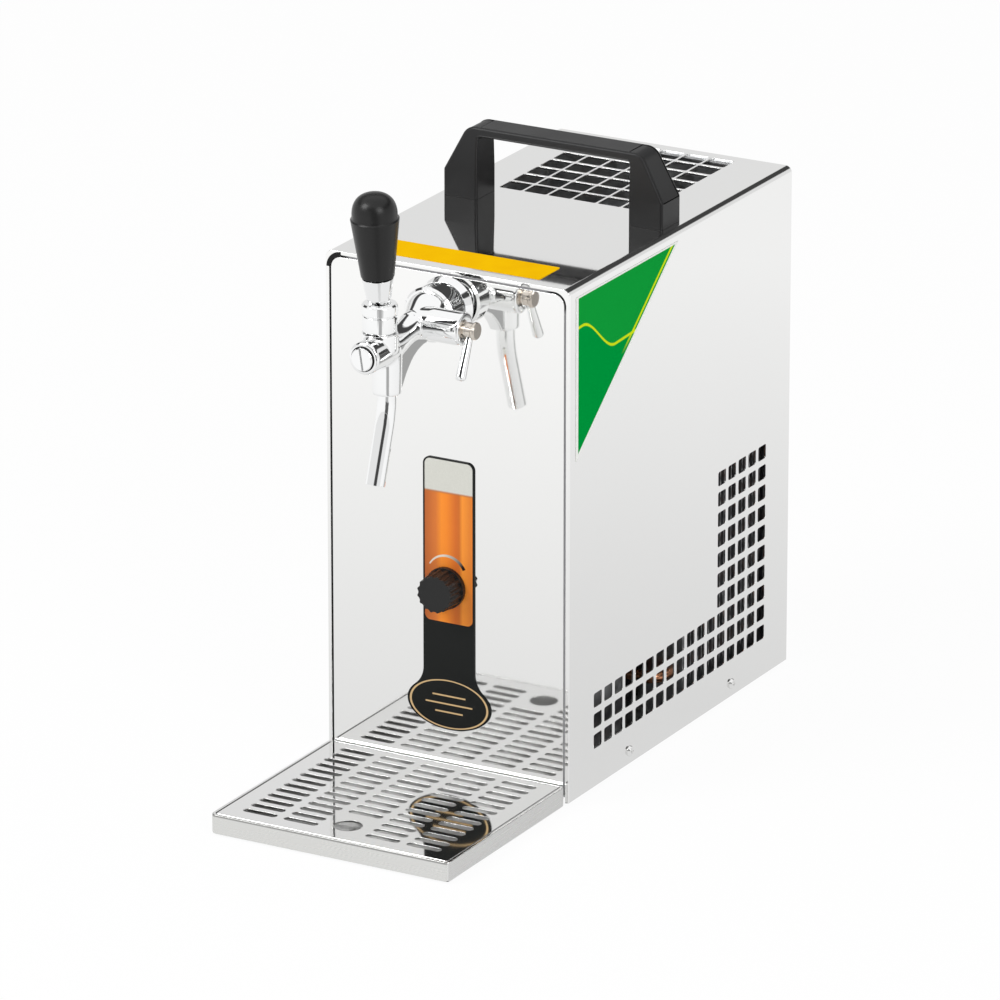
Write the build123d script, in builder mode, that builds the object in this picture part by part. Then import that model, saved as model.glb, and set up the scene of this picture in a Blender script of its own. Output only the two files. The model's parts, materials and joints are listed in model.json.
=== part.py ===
from build123d import *
import os
from math import cos, radians, sin, sqrt, tan

os.makedirs("parts", exist_ok=True)

# Desktop dry beer cooler with one tap. Millimetres, +Z up, the tap looks towards -Y.
# The origin is under the middle of the whole unit, tray and rear fittings included.

# ------------------------------------------------------------------ driving dimensions
body_width = 175.0
body_depth = 300.0
body_height = 344.0         # top of the casing above the table
rear_fitting_reach = 18.0   # fittings stand out this far behind the casing

touch = 0.05                # gap between pieces that sit against each other
running = 0.05              # radial gap of a shaft in its bore
play = 0.3                  # gap round a piece that moves freely

sheet = 1.0                 # casing sheet
casing_bend = 4.5
skirt_gap = 2.5             # casing's lower edge above the table
lip_width = 2.3             # casing edge seen round the front panel
seam_width = 1.5            # black seal between casing edge and panel
seal_recess = 0.7
seal_depth = 6.0
panel_sheet = 1.2
panel_return = 14.0
panel_corner = 7.0
panel_bottom = 5.0

foot_height = 6.0
foot_radius = 10.0
foot_inset_x = 13.5
foot_inset_y = 14.0
foot_stem_radius = 3.9
foot_bulb = 1.2
foot_bulb_height = 2.5
foot_edge = 1.0
base_sheet = 1.5
base_flange = 14.0
base_flange_notch = 6.0

vent_cell = 9.7
side_vent_cell = 10.8      # along the side
vent_pitch = 13.95
vent_corner = 1.5
side_vent_front = 33.6
side_vent_low = 28.2
side_vent_columns = 17
side_vent_rows = 3
rear_column_count = 5       # columns of the upright arm of the side vent
rear_column_rows = 7        # rows of that arm above the long rows
top_vent_x = 16.4
top_vent_y = 15.6
top_vent_pitch = 18.0
top_vent_columns = 6
top_vent_rows = 7
top_vent_front = 167.5
top_vent_offset = -3.0
back_vent_columns = 7
back_vent_rows = 8
back_vent_low = 40.0

casing_screw_z = 11.0
casing_screw_spots = (82.0, 222.0)
casing_screw_radius = 2.0
casing_screw_head = 3.7
casing_screw_rise = 1.8
casing_screw_length = 8.0
casing_screw_dome = 18.0
casing_screw_cross = (3.6, 0.7, 1.0)

handle_front = 136.0
handle_depth = 25.0
handle_top_depth = 22.0
handle_inset = 7.9          # legs stand in from the casing's sides
handle_leg = 24.5
handle_height = 47.9
handle_side_rise = 17.5     # upright part of the outer face
handle_shoulder_inset = 16.3  # where the shoulder's slope meets the top, inside the leg's face
handle_shoulder_round = 10.0
handle_bar = 6.3
handle_edge = 1.8
handle_cap_length_x = 25.1  # caps reach this far over the bar
handle_cap_margin = 2.6     # rim left at the front and back of each cap
handle_cap_groove = 0.7
handle_cap_sink = 0.25      # caps lie a little under the handle's face
handle_cap_thick = 2.4
handle_screw_inset = 11.6
handle_screw_radius = 3.0
handle_screw_head = 5.0
handle_screw_head_rise = 5.0
handle_screw_seat = 12.0
handle_screw_key = 2.9
handle_screw_key_depth = 2.5
handle_screw_tail = 7.0
handle_washer_radius = 7.0
handle_washer_thick = 1.2
handle_nut_radius = 5.6
handle_nut_thick = 4.5

badge_x = 1.4
badge_width = 37.1
badge_top = 219.0
badge_neck_sweep = 16.0
badge_oval_width = 60.6
badge_oval_height = 34.6
badge_oval_z = 54.2
badge_corner = 5.0
badge_thick = 0.8
label_thick = 0.3
side_label_long = 134.4
side_label_drop = 108.0
side_label_front = 8.5
side_label_down = 7.0       # under the casing's top
top_label_width = 120.0
top_label_depth = 27.0
top_label_front = 11.0

knob_z = 133.3
knob_radius = 13.75
knob_reach = 15.8
knob_skirt = 3.0
knob_flutes = 16
knob_flute_radius = 1.9
knob_grip_step = 0.5
knob_hub_wall = 2.0
knob_hollow_gap = 2.2       # round the corners of the nut
knob_taper = 4.0
knob_hollow_depth = 5.0
knob_face_thick = 4.0       # over the end of the shaft
knob_gap = 0.5
knob_shaft_radius = 3.0
knob_shaft_socket = 10.0
thermostat_width = 36.0
thermostat_height = 32.0
thermostat_depth = 20.0
thermostat_corner = 2.0
thermostat_bush_radius = 5.0
thermostat_nut_width = 14.0
thermostat_nut_thick = 2.4
thermostat_terminal = (5.0, 0.8, 4.0)
thermostat_terminal_pitch = 10.0

tap_drop = 23.0             # shank axis under the casing's top
shank_radius = 10.0
shank_bore = 5.0
shank_tail = 31.0           # end of the shank behind the panel
shank_collar = 3.2
shank_collar_thick = 3.6
shank_nut_width = 28.0
shank_nut_thick = 6.0
rosette_radius = 19.0
rosette_thick = 5.0
rosette_slope = 28.0
coupling_radius = 18.0
coupling_start = 9.0
coupling_length = 15.0
coupling_edge = 1.4
coupling_seat = 6.5         # depth at which the tap's tail starts in the nut
coupling_notches = 6
coupling_notch_radius = 2.2
coupling_notch_edge = 3.0
barrel_bore = 7.0
# casting from barrel to valve chest: distance in front of the panel, drop, half width, half height
casting_rows = (
    (24.05, 0.0, 15.4, 15.4),
    (27.0, 0.0, 15.0, 15.0),
    (31.0, 0.1, 13.5, 13.5),
    (36.0, 0.4, 11.3, 11.3),
    (42.0, 0.8, 9.3, 9.3),
    (50.0, 1.8, 8.3, 8.1),
    (57.0, 3.3, 8.4, 8.3),
    (64.0, 4.7, 9.1, 9.1),
    (71.0, 5.2, 9.9, 9.9),
    (78.0, 5.2, 10.4, 10.4),
)
web_half_thick = 4.5
# back edge of the web under the casting: distance in front of the panel, drop
web_edge = ((28.0, 14.3), (32.0, 14.6), (37.0, 15.1), (42.5, 16.4), (50.0, 20.2), (57.5, 27.2), (63.0, 35.0))
valve_drop = 5.2            # valve axis under the shank axis
valve_radius = 10.6
valve_front = 105.0
valve_back = 64.0
chest_back = 76.0
valve_edge = 1.2
valve_bore = 6.5
cap_radius = 7.5
cap_proud = 2.0
cap_edge = 0.6
cap_spigot = 2.5
cap_slot_width = 1.4
cap_slot_depth = 1.0
cap_slot_turn = 9.0         # degrees out of upright
boss_y = 37.0
boss_radius = 10.8
boss_root_radius = 9.0
boss_root = 12.0
boss_reach = 34.3
boss_edge = 1.0
boss_recess = 1.5
boss_recess_gap = 2.0
lever_y = 84.0
lever_rise = 17.0           # ball centre above the shank axis
lever_lean = 4.8            # degrees forward at rest
lever_ball = 8.0
ball_gap = 0.15
socket_rim_rise = 5.25      # rim of the ball's socket above the ball's centre
bonnet_bottom_rise = 7.0
bonnet_height = 18.5
bonnet_radius = 11.4
bonnet_groove = 7.0         # groove under the bonnet's top
bonnet_groove_depth = 1.1
bonnet_spigot = 9.3
bonnet_spigot_drop = 4.0
lever_forward = 22.0        # degrees of travel towards the user, from upright
stem_radius = 3.0
stem_tail = 14.0            # end of the stem in the grip
sleeve_hollow = 14.2
sleeve_low_radius = 7.7
sleeve_top_radius = 9.9
sleeve_top_rise = 42.5
tap_knob_height = 55.7
tap_knob_low_radius = 10.5
tap_knob_low_edge = 1.5
tap_knob_radius = 15.3
tap_knob_cone = 39.0
tap_knob_step = 0.8
tap_knob_collar = 2.4
tap_knob_dome_radius = 14.3
finger_radius = 1.6
finger_ball = 4.3
finger_slot = 21.0
plunger_length = 19.0
plunger_slot = 4.8
plunger_land = 2.5          # end of the plunger to the middle of its ring
plunger_groove = 2.4
ring_thick = 1.0
spindle_radius = 5.5
spindle_hub_radius = 5.0
spindle_head_radius = 5.8
spindle_head_thick = 3.0
spindle_head_edge = 1.4
spindle_gap = 0.8           # spindle's end outside the barrel bore
spindle_reach = 42.8
eccentric = 2.0
eccentric_pin = 1.5
eccentric_depth = 1.4
cone_length = 22.0
cone_front = 42.5
cone_flutes = 6
cone_flute_radius = 1.8
cone_taper = (5.0, 2.6)
cone_travel = 2.2           # room for the cone at each end of the barrel
arm_tip_radius = 3.7
arm_root_radius = 2.7
arm_spigot = 2.5
arm_spigot_start = 1.6
arm_spigot_length = 6.0
arm_x = 37.9
arm_length = 32.2
arm_tip_round = 2.5
arm_lean = 25.0             # degrees forward of straight down
spout_radius = 6.2
spout_wall = 1.0
spout_round = 60.0
spout_in = (75.0, 24.0)     # distance in front of the panel, drop under the shank axis
spout_bend = (75.8, 48.0)
spout_out = (90.7, 92.0)
channel_radius = 3.4
channel_in_drop = 0.8
channel_end = 78.0
socket_top_drop = 9.2
socket_top_radius = 9.6
socket_low_radius = 9.2
socket_low_drop = 36.0

tray_inset = 1.5            # tray's sides inside the casing's sides
tray_depth = 150.0
tray_gap = 1.0
tray_top = 14.4
tray_wall = 2.0
tray_floor = 1.0
tray_floor_z = 1.1
tray_corner = 3.5
tray_bottom_edge = 1.6
tray_foot_radius = 6.0
tray_edge = 0.5
tray_foot_inset = 20.0
tongue_width = 22.0
tongue_x = 52.0
tongue_thick = 1.2
tongue_z = 2.4
tongue_reach = 36.0
guide_wall = 1.4
guide_short = 2.0
grate_gap = 0.6
grate_thick = 1.2
grate_skirt = 1.0
grate_corner = 1.5
slot_length = 24.3
slot_width = 5.4
slot_pitch_x = 29.6
slot_pitch_y = 10.1
slot_columns = 5
slot_rows = 13
slot_last_y = 13.2
short_column_rows = 10
finger_hole_radius = 9.2
finger_hole_y = 126.5

jacket_front = 27.0
jacket_wall = 10.0
jacket_corner = 6.0
outlet_rise = 23.0          # shank axis above the jacket's top
block_side_room = 34.5      # between the casing's inside and the block
block_depth = 72.0
block_height = 208.0
block_corner = 3.0
coil_radius = 4.0
coil_wall = 0.8
coil_seat = 0.3
coil_side_room = 12.0       # between the block's side and the coil's straight runs
coil_elbow = 9.0
coil_tail = 24.0
beer_rows = 9
cooling_rows = 8
coil_first_row = 14.0       # above the block's underside
coil_last_row = 18.0        # under the block's top
stand_sheet = 1.5
stand_foot = 12.0
stand_inset_y = 14.0
stand_inset_x = 4.0

side_port_inset = 12.5      # pipes along the casing's sides
compressor_y = 222.0
compressor_side_room = 11.15
compressor_offset = 1.35
compressor_headroom = 30.0  # under the air pump's shelf
compressor_dome = 26.0
compressor_waist = 1.5
compressor_waist_height = 3.0
compressor_plate = 3.0
compressor_plate_rim = 8.0
compressor_foot_share = 0.75
compressor_foot_y = 56.0
discharge_share = 0.54      # discharge stub's offset, in compressor radii
discharge_stub = 30.0
suction_drop = 36.0         # suction stub under the compressor's top
stub_wall = 1.0
suction_stub = 4.0
suction_root = 6.0
grommet_height = 13.0
grommet_radius = 8.0
grommet_neck = 5.0
grommet_neck_rise = 3.0
condenser_front = 165.0
condenser_length = 110.0
condenser_room = 4.5        # between the casing's inside and the fins
condenser_width = 26.0
condenser_low = 24.0
condenser_high = 168.0
condenser_rows = 6
condenser_margin = 10.0     # lowest row above the fins' lower edge
condenser_top_margin = 14.0
condenser_tube_radius = 4.0
condenser_front_bend = 13.0
condenser_back_bend = 14.0
condenser_riser = 14.0
condenser_outlet = 24.0
fin_pitch = 5.0
fin_thick = 0.5
fin_setback = 2.0
end_plate = 1.5
fan_size = 110.0
fan_corner = 5.0
fan_depth = 24.15
fan_centre_z = 90.0
fan_bore = 52.0
fan_screw_inset = 6.0
fan_screw_radius = 2.2
fan_spoke = 5.0
fan_spoke_thick = 2.5
fan_foot = (12.0, 8.0)
fan_foot_inset = 10.0
fan_hub = 20.0
fan_hub_depth = 8.0
fan_blade_radius = 50.0
fan_blades = 7
fan_blade_pitch = 32.0
fan_blade_thick = 1.6
fan_blade_chord = 13.0
fan_shaft = 2.0
fan_motor_radius = 17.0
fan_motor_length = 12.0
fan_motor_gap = 1.0
pipe_radius = 3.0
pipe_wall = 0.7
pipe_elbow = 7.5
discharge_rise = 22.0
corridor_y = 152.0          # pipes run here, between jacket and condenser
suction_y = 160.0
capillary_y = 144.0         # the capillary runs here, in front of the condenser's bends
capillary_tail = 6.0
drier_radius = 8.0
drier_length = 60.0
drier_step = 12.0
drier_rise = 16.0
drier_shoulder = 4.0
capillary_rise = 14.0
capillary_radius = 1.0
capillary_bend = 3.5

beer_port_z = 183.0
air_port_inset = 41.5
air_port_drop = 54.0
port_nut_radius = 9.0
port_nut_thick = 5.0
port_body_radius = 7.0
port_bore = 4.0
port_wall = 1.5
port_inside = 14.0
port_step = 3.0
collet_radius = 5.2
collet_flange = 6.6
collet_flange_thick = 1.2
collet_length = 12.0
pump_y = 232.0
pump_width = 56.0
pump_length = 84.0
pump_height = 46.0
pump_base_share = 0.6
pump_head_share = 0.34
pump_corner = 6.0
pump_spout = 6.0
shelf_drop = 146.0
shelf_margin = 4.0
hose_radius = 3.0
hose_bend = 18.0
supply_bend = 20.0
outlet_bend = 8.0
outlet_tail = 2.0
inlet_inset = 36.5
inlet_drop = 108.0
inlet_width = 30.0
inlet_height = 24.0
inlet_ear = 7.0
inlet_corner = 3.0
inlet_rim = 2.0
inlet_lip = 2.5
inlet_depth = 22.0
inlet_wall = 1.5
inlet_floor = 4.0
inlet_pin = (2.0, 5.0, 15.0)
inlet_pin_pitch = 7.0
switch_drop = 58.0
cooling_switch_inset = 24.5
air_switch_inset = 50.5
switch_width = 15.0
switch_height = 21.0
switch_wall = 1.5
switch_rim = 1.0
switch_lip = 1.5
switch_depth = 16.0
switch_well = 10.0
rocker_tilt = 8.0
rocker_end_gap = 0.9
rocker_end_rise = 2.6
rocker_mid_rise = 1.4
rocker_end_drop = 1.8
rocker_keel = 5.5
rocker_end_slope = 0.6

# ------------------------------------------------------------------ places worked out from them
tray_reach = tray_gap + tray_depth
panel_y = -(body_depth + rear_fitting_reach - tray_reach) / 2   # plane of the front panel
rear_y = panel_y + body_depth
inside_x = body_width / 2 - sheet
inside_top = body_height - sheet
base_top = foot_height + base_sheet
handle_mid_y = panel_y + handle_front + handle_depth / 2
handle_half_width = body_width / 2 - handle_inset
handle_shoulder_x = handle_half_width - handle_shoulder_inset
handle_cap_end_x = handle_half_width - handle_cap_length_x
handle_screw_x = handle_half_width - handle_screw_inset
tap_z = body_height - tap_drop
side_port_x = inside_x - side_port_inset
air_port_x = -(inside_x - air_port_inset)
air_port_z = body_height - air_port_drop
pump_x = air_port_x
shelf_z = body_height - shelf_drop
inlet_x = inside_x - inlet_inset
inlet_z = body_height - inlet_drop
switch_z = body_height - switch_drop
cooling_switch_x = inside_x - cooling_switch_inset
air_switch_x = inside_x - air_switch_inset
tray_width = body_width - 2 * tray_inset
base_half_width = inside_x - touch
base_front = panel_y + panel_sheet + touch
rear_inner = rear_y - panel_sheet


def front_plane(y):
    """Upright plane that looks towards -Y: local x is X, local y is Z."""
    return Plane(origin=(0, y, 0), x_dir=(1, 0, 0), z_dir=(0, -1, 0))


def side_plane(x):
    """Upright plane that looks towards +X: local x is Y, local y is Z."""
    return Plane(origin=(x, 0, 0), x_dir=(0, 1, 0), z_dir=(1, 0, 0))


def level(z):
    """Level plane at height z."""
    return Plane.XY.offset(z)


def arch(plane, width, bottom, top, corner):
    """Upright outline with straight feet and both upper corners rounded."""
    with BuildSketch(plane) as outline:
        with Locations((0, (bottom + top) / 2)):
            Rectangle(width, top - bottom)
        fillet(outline.vertices().group_by(Axis.Y)[-1], corner)
    return outline.sketch


def cells(columns, rows, pitch_x, pitch_y, centre, size, corner):
    """Rounded vent cells in a grid about a local centre, cut into the current sketch."""
    with Locations(centre):
        with GridLocations(pitch_x, pitch_y, columns, rows):
            RectangleRounded(*size, corner)


def pipe(points, bends, radius, bore=0.0):
    """Tube along straight runs joined by tangent arcs."""
    with BuildPart() as tube:
        with BuildLine() as route:
            FilletPolyline(*points, radius=bends)
        with BuildSketch(Plane(origin=route.line @ 0, z_dir=route.line % 0)):
            Circle(radius)
            if bore:
                Circle(bore, mode=Mode.SUBTRACT)
        sweep()
    return tube


# ------------------------------------------------------------------ casing
with BuildPart() as casing_cover:
    extrude(arch(front_plane(rear_y), body_width, skirt_gap, body_height, casing_bend), amount=body_depth)
    extrude(
        arch(front_plane(rear_y), 2 * inside_x, skirt_gap - sheet, inside_top, casing_bend - sheet),
        amount=body_depth,
        mode=Mode.SUBTRACT,
    )
    # the front edge is folded in to a narrow lip round the panel
    lip_half_width = body_width / 2 - lip_width
    lip_top = body_height - lip_width
    extrude(
        arch(front_plane(panel_y + sheet), body_width - sheet, skirt_gap, inside_top + sheet / 2,
             casing_bend),
        amount=sheet,
    )
    extrude(
        arch(front_plane(panel_y + sheet), 2 * lip_half_width, skirt_gap - sheet, lip_top,
             panel_corner + seam_width),
        amount=sheet,
        mode=Mode.SUBTRACT,
    )
    # both sides carry the same L-shaped vent
    with BuildSketch(side_plane(-body_width / 2 - sheet)):
        first_y = panel_y + side_vent_front + side_vent_cell / 2
        first_z = side_vent_low + vent_cell / 2
        long_rows_centre = (
            first_y + (side_vent_columns - 1) * vent_pitch / 2,
            first_z + (side_vent_rows - 1) * vent_pitch / 2,
        )
        cells(side_vent_columns, side_vent_rows, vent_pitch, vent_pitch, long_rows_centre,
              (side_vent_cell, vent_cell), vent_corner)
        arm_centre = (
            first_y + (side_vent_columns - (rear_column_count + 1) / 2) * vent_pitch,
            first_z + (side_vent_rows + (rear_column_rows - 1) / 2) * vent_pitch,
        )
        cells(rear_column_count, rear_column_rows, vent_pitch, vent_pitch, arm_centre,
              (side_vent_cell, vent_cell), vent_corner)
        with Locations(*[(panel_y + spot, casing_screw_z) for spot in casing_screw_spots]):
            Circle(casing_screw_radius + play)
    extrude(amount=body_width + 2 * sheet, mode=Mode.SUBTRACT)
    with BuildSketch(level(body_height + sheet)):
        top_vent_centre = (
            top_vent_offset,
            panel_y + top_vent_front + ((top_vent_rows - 1) * top_vent_pitch + top_vent_y) / 2,
        )
        cells(top_vent_columns, top_vent_rows, top_vent_pitch, top_vent_pitch, top_vent_centre,
              (top_vent_x, top_vent_y), vent_corner)
        with Locations(*[(side * handle_screw_x, handle_mid_y) for side in (-1, 1)]):
            Circle(handle_screw_radius + play)
    extrude(amount=-3 * sheet, mode=Mode.SUBTRACT)

with BuildPart() as front_panel:
    panel_half_width = lip_half_width - seam_width
    panel_top = lip_top - seam_width
    extrude(
        arch(front_plane(panel_y + panel_return), 2 * panel_half_width, panel_bottom, panel_top,
             panel_corner),
        amount=panel_return,
    )
    extrude(
        arch(front_plane(panel_y + panel_return), 2 * (panel_half_width - panel_sheet), panel_bottom - sheet,
             panel_top - panel_sheet, panel_corner - panel_sheet),
        amount=panel_return - panel_sheet,
        mode=Mode.SUBTRACT,
    )
    # the returns stop above the base plate's flange
    flange_room = 2 * (base_top + base_flange + play - panel_bottom)
    with BuildSketch(front_plane(panel_y + panel_return)):
        with Locations((0, panel_bottom)):
            Rectangle(2 * inside_x, flange_room)
    extrude(amount=panel_return - panel_sheet, mode=Mode.SUBTRACT)
    with BuildSketch(front_plane(panel_y + 2 * panel_sheet)):
        with Locations((0, tap_z)):
            Circle(shank_radius + touch)
        with Locations((0, knob_z)):
            Circle(thermostat_bush_radius + touch)
    extrude(amount=3 * panel_sheet, mode=Mode.SUBTRACT)

with BuildPart() as front_seal:
    seal_gap = touch
    seal_back = panel_y + sheet + touch + seal_depth
    # thin tongue in the seam, then a wider heel behind the casing lip
    extrude(
        arch(front_plane(seal_back), 2 * (lip_half_width - seal_gap), skirt_gap + foot_height,
             lip_top - seal_gap, panel_corner + seam_width - seal_gap),
        amount=seal_back - panel_y - seal_recess,
    )
    extrude(
        arch(front_plane(seal_back), 2 * (inside_x - seal_gap), skirt_gap + foot_height,
             inside_top - seal_gap, casing_bend - sheet),
        amount=seal_depth,
    )
    extrude(
        arch(front_plane(seal_back), 2 * (panel_half_width + seal_gap), 0, panel_top + seal_gap,
             panel_corner + seal_gap),
        amount=2 * seal_depth,
        mode=Mode.SUBTRACT,
    )

with BuildPart() as rear_panel:
    back_half_width = inside_x - touch
    back_top = inside_top - touch
    back_bottom = base_top + touch
    extrude(
        arch(front_plane(rear_y), 2 * back_half_width, back_bottom, back_top, casing_bend - sheet),
        amount=panel_return,
    )
    extrude(
        arch(front_plane(rear_inner), 2 * (back_half_width - panel_sheet), back_bottom - sheet,
             back_top - panel_sheet, casing_bend - sheet),
        amount=panel_return,
        mode=Mode.SUBTRACT,
    )
    # the lower ends of the side returns stop above the base plate's flange
    with BuildSketch(front_plane(rear_inner)):
        with Locations((0, base_top + base_flange / 2)):
            Rectangle(2 * inside_x, base_flange + 2 * play)
    extrude(amount=panel_return, mode=Mode.SUBTRACT)
    # shelf for the air pump
    with BuildSketch(level(shelf_z)):
        shelf_front = panel_y + pump_y - pump_length / 2 - shelf_margin
        with Locations((pump_x, (shelf_front + rear_inner) / 2)):
            Rectangle(pump_width + 2 * shelf_margin, rear_inner - shelf_front)
    extrude(amount=panel_sheet)
    with BuildSketch(front_plane(rear_y + sheet)):
        cells(back_vent_columns, back_vent_rows, vent_pitch, vent_pitch,
              (0, back_vent_low + (back_vent_rows - 1) * vent_pitch / 2), (vent_cell, vent_cell), vent_corner)
        with Locations((-side_port_x, beer_port_z), (air_port_x, air_port_z)):
            Circle(port_body_radius + touch)
        with Locations((inlet_x, inlet_z)):
            Rectangle(inlet_width - 2 * inlet_rim, inlet_height - 2 * inlet_rim)
        with Locations((cooling_switch_x, switch_z), (air_switch_x, switch_z)):
            Rectangle(switch_width - 2 * switch_rim, switch_height - 2 * switch_rim)
    extrude(amount=3 * sheet, mode=Mode.SUBTRACT)

with BuildPart() as base_plate:
    base_length = rear_inner - touch - base_front
    base_centre_y = base_front + base_length / 2
    with BuildSketch(level(foot_height)):
        with Locations((0, base_centre_y)):
            Rectangle(2 * base_half_width, base_length)
    extrude(amount=base_sheet + base_flange)
    with BuildSketch(level(base_top)):
        with Locations((0, base_centre_y)):
            Rectangle(2 * (base_half_width - base_sheet), base_length - 2 * base_sheet)
    extrude(amount=base_flange, mode=Mode.SUBTRACT)
    # the four flanges stop short of each other, which leaves the corners to the front seal
    for end_y in (base_front, base_front + base_length):
        for side in (-1, 1):
            with BuildSketch(level(base_top)):
                with Locations((side * base_half_width, end_y)):
                    Rectangle(2 * base_flange_notch, 2 * (panel_return + play))
            extrude(amount=base_flange, mode=Mode.SUBTRACT)
    with BuildSketch(side_plane(-body_width / 2)):
        with Locations(*[(panel_y + spot, casing_screw_z) for spot in casing_screw_spots]):
            Circle(casing_screw_radius + touch)
    extrude(amount=body_width, mode=Mode.SUBTRACT)
    foot_spots = [
        (side * (body_width / 2 - foot_inset_x), panel_y + depth)
        for side in (-1, 1)
        for depth in (foot_inset_y + tongue_reach, body_depth - foot_inset_y)
    ]
    with BuildSketch(level(foot_height)):
        with Locations(*foot_spots):
            Circle(foot_stem_radius + touch)
    extrude(amount=base_sheet, mode=Mode.SUBTRACT)
    # two guides under the front edge hold the tray's tongues
    for side in (-1, 1):
        guide_half = tongue_width / 2 + play + guide_wall
        guide_low = tongue_z - play - guide_wall
        with BuildSketch(level(guide_low)):
            with Locations((side * tongue_x, base_front + tongue_reach / 2)):
                Rectangle(2 * guide_half, tongue_reach - 2 * guide_short)
        extrude(amount=foot_height - guide_low)
        with BuildSketch(level(tongue_z - play)):
            with Locations((side * tongue_x, panel_y + tongue_reach / 2)):
                Rectangle(tongue_width + 2 * play, 2 * tongue_reach)
        extrude(amount=tongue_thick + 2 * play, mode=Mode.SUBTRACT)

with BuildPart() as base_feet:
    with BuildSketch(level(0)):
        with Locations(*foot_spots):
            Circle(foot_radius)
    extrude(amount=foot_height)
    with BuildSketch(level(foot_height)):
        with Locations(*foot_spots):
            Circle(foot_stem_radius)
    extrude(amount=base_sheet)
    # a flat bulb above the sheet keeps each foot in its hole
    with BuildSketch(level(base_top + touch)):
        with Locations(*foot_spots):
            Circle(foot_stem_radius + foot_bulb)
    extrude(amount=foot_bulb_height)
    with BuildSketch(level(base_top)):
        with Locations(*foot_spots):
            Circle(foot_stem_radius)
    extrude(amount=foot_bulb_height)
    chamfer(base_feet.edges().group_by(Axis.Z)[0], foot_edge)

with BuildPart() as casing_screws:
    for side in (-1, 1):
        for spot in casing_screw_spots:
            screw_plane = Plane(
                origin=(side * (body_width / 2 + touch), panel_y + spot, casing_screw_z),
                x_dir=(0, 1, 0),
                z_dir=(side, 0, 0),
            )
            with BuildSketch(screw_plane):
                Circle(casing_screw_head)
            extrude(amount=casing_screw_rise, taper=casing_screw_dome)
            with BuildSketch(screw_plane):
                Circle(casing_screw_radius)
            extrude(amount=-casing_screw_length)
            cross_long, cross_wide, cross_deep = casing_screw_cross
            with BuildSketch(screw_plane.offset(casing_screw_rise)):
                Rectangle(cross_long, cross_wide)
                Rectangle(cross_wide, cross_long)
            extrude(amount=-cross_deep, mode=Mode.SUBTRACT)

# ------------------------------------------------------------------ carrying handle
handle_low = body_height + touch
handle_top = handle_low + handle_height
handle_face = front_plane(handle_mid_y + handle_depth / 2)


def handle_wedge(inset):
    """Room that both legs and the bar fill: the bar is narrower than the feet."""
    low_half = handle_depth / 2 - inset
    top_half = handle_top_depth / 2 - inset
    with BuildPart() as wedge:
        with BuildSketch(side_plane(-handle_half_width - sheet)):
            with BuildLine():
                Polyline(
                    (handle_mid_y - low_half, handle_low),
                    (handle_mid_y + low_half, handle_low),
                    (handle_mid_y + low_half, handle_low + handle_side_rise),
                    (handle_mid_y + top_half, handle_top),
                    (handle_mid_y - top_half, handle_top),
                    (handle_mid_y - low_half, handle_low + handle_side_rise),
                    close=True,
                )
            make_face()
        extrude(amount=2 * (handle_half_width + sheet))
    return wedge.part


def handle_outline(grow):
    """Outer outline of the whole handle, with round shoulders, grown by a distance."""
    with BuildSketch(handle_face) as outline:
        with BuildLine():
            right_side = [
                (handle_half_width, handle_low),
                (handle_half_width, handle_low + handle_side_rise),
                (handle_shoulder_x, handle_top),
            ]
            left_side = [(-x, z) for x, z in reversed(right_side)]
            Polyline(*right_side, *left_side, close=True)
        make_face()
        fillet(outline.vertices().group_by(Axis.Y)[-1], handle_shoulder_round)
        if grow:
            offset(amount=grow)
    return outline.sketch


def shoulder_strip(side, outside, inside, margin, end_gap):
    """Band along the round shoulder of one leg, between two depths under its face."""
    band_low = handle_low + handle_side_rise - end_gap
    band_end = handle_cap_end_x - end_gap
    with BuildPart() as band:
        extrude(handle_outline(outside), amount=handle_depth)
        extrude(handle_outline(-inside), amount=handle_depth, mode=Mode.SUBTRACT)
        with BuildSketch(handle_face):
            with Locations((side * (band_end + handle_leg), band_low + handle_height)):
                Rectangle(2 * handle_leg, 2 * handle_height)
        extrude(amount=handle_depth, mode=Mode.INTERSECT)
        add(handle_wedge(margin), mode=Mode.INTERSECT)
    return band.part


with BuildPart() as handle_body:
    extrude(handle_outline(0), amount=handle_depth)
    inner_top = handle_top - handle_bar
    with BuildSketch(handle_face):
        with Locations((0, (handle_low - sheet + inner_top) / 2)):
            Rectangle(2 * (handle_half_width - handle_leg), inner_top - handle_low + sheet)
    extrude(amount=handle_depth, mode=Mode.SUBTRACT)
    add(handle_wedge(0), mode=Mode.INTERSECT)
    fillet(handle_body.edges().filter_by_position(Axis.Z, handle_low + sheet, 2 * handle_top), handle_edge)
    for side in (-1, 1):
        add(
            shoulder_strip(side, play, handle_cap_thick + touch, handle_cap_margin - handle_cap_groove,
                           handle_cap_groove),
            mode=Mode.SUBTRACT,
        )
        with BuildSketch(level(handle_low + handle_screw_seat)):
            with Locations((side * handle_screw_x, handle_mid_y)):
                Circle(handle_screw_head + play)
        extrude(amount=handle_height, mode=Mode.SUBTRACT)
        with BuildSketch(level(handle_low)):
            with Locations((side * handle_screw_x, handle_mid_y)):
                Circle(handle_screw_radius + play)
        extrude(amount=handle_screw_seat, mode=Mode.SUBTRACT)

with BuildPart() as handle_caps:
    for side in (-1, 1):
        add(shoulder_strip(side, -handle_cap_sink, handle_cap_thick, handle_cap_margin, 0))

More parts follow.
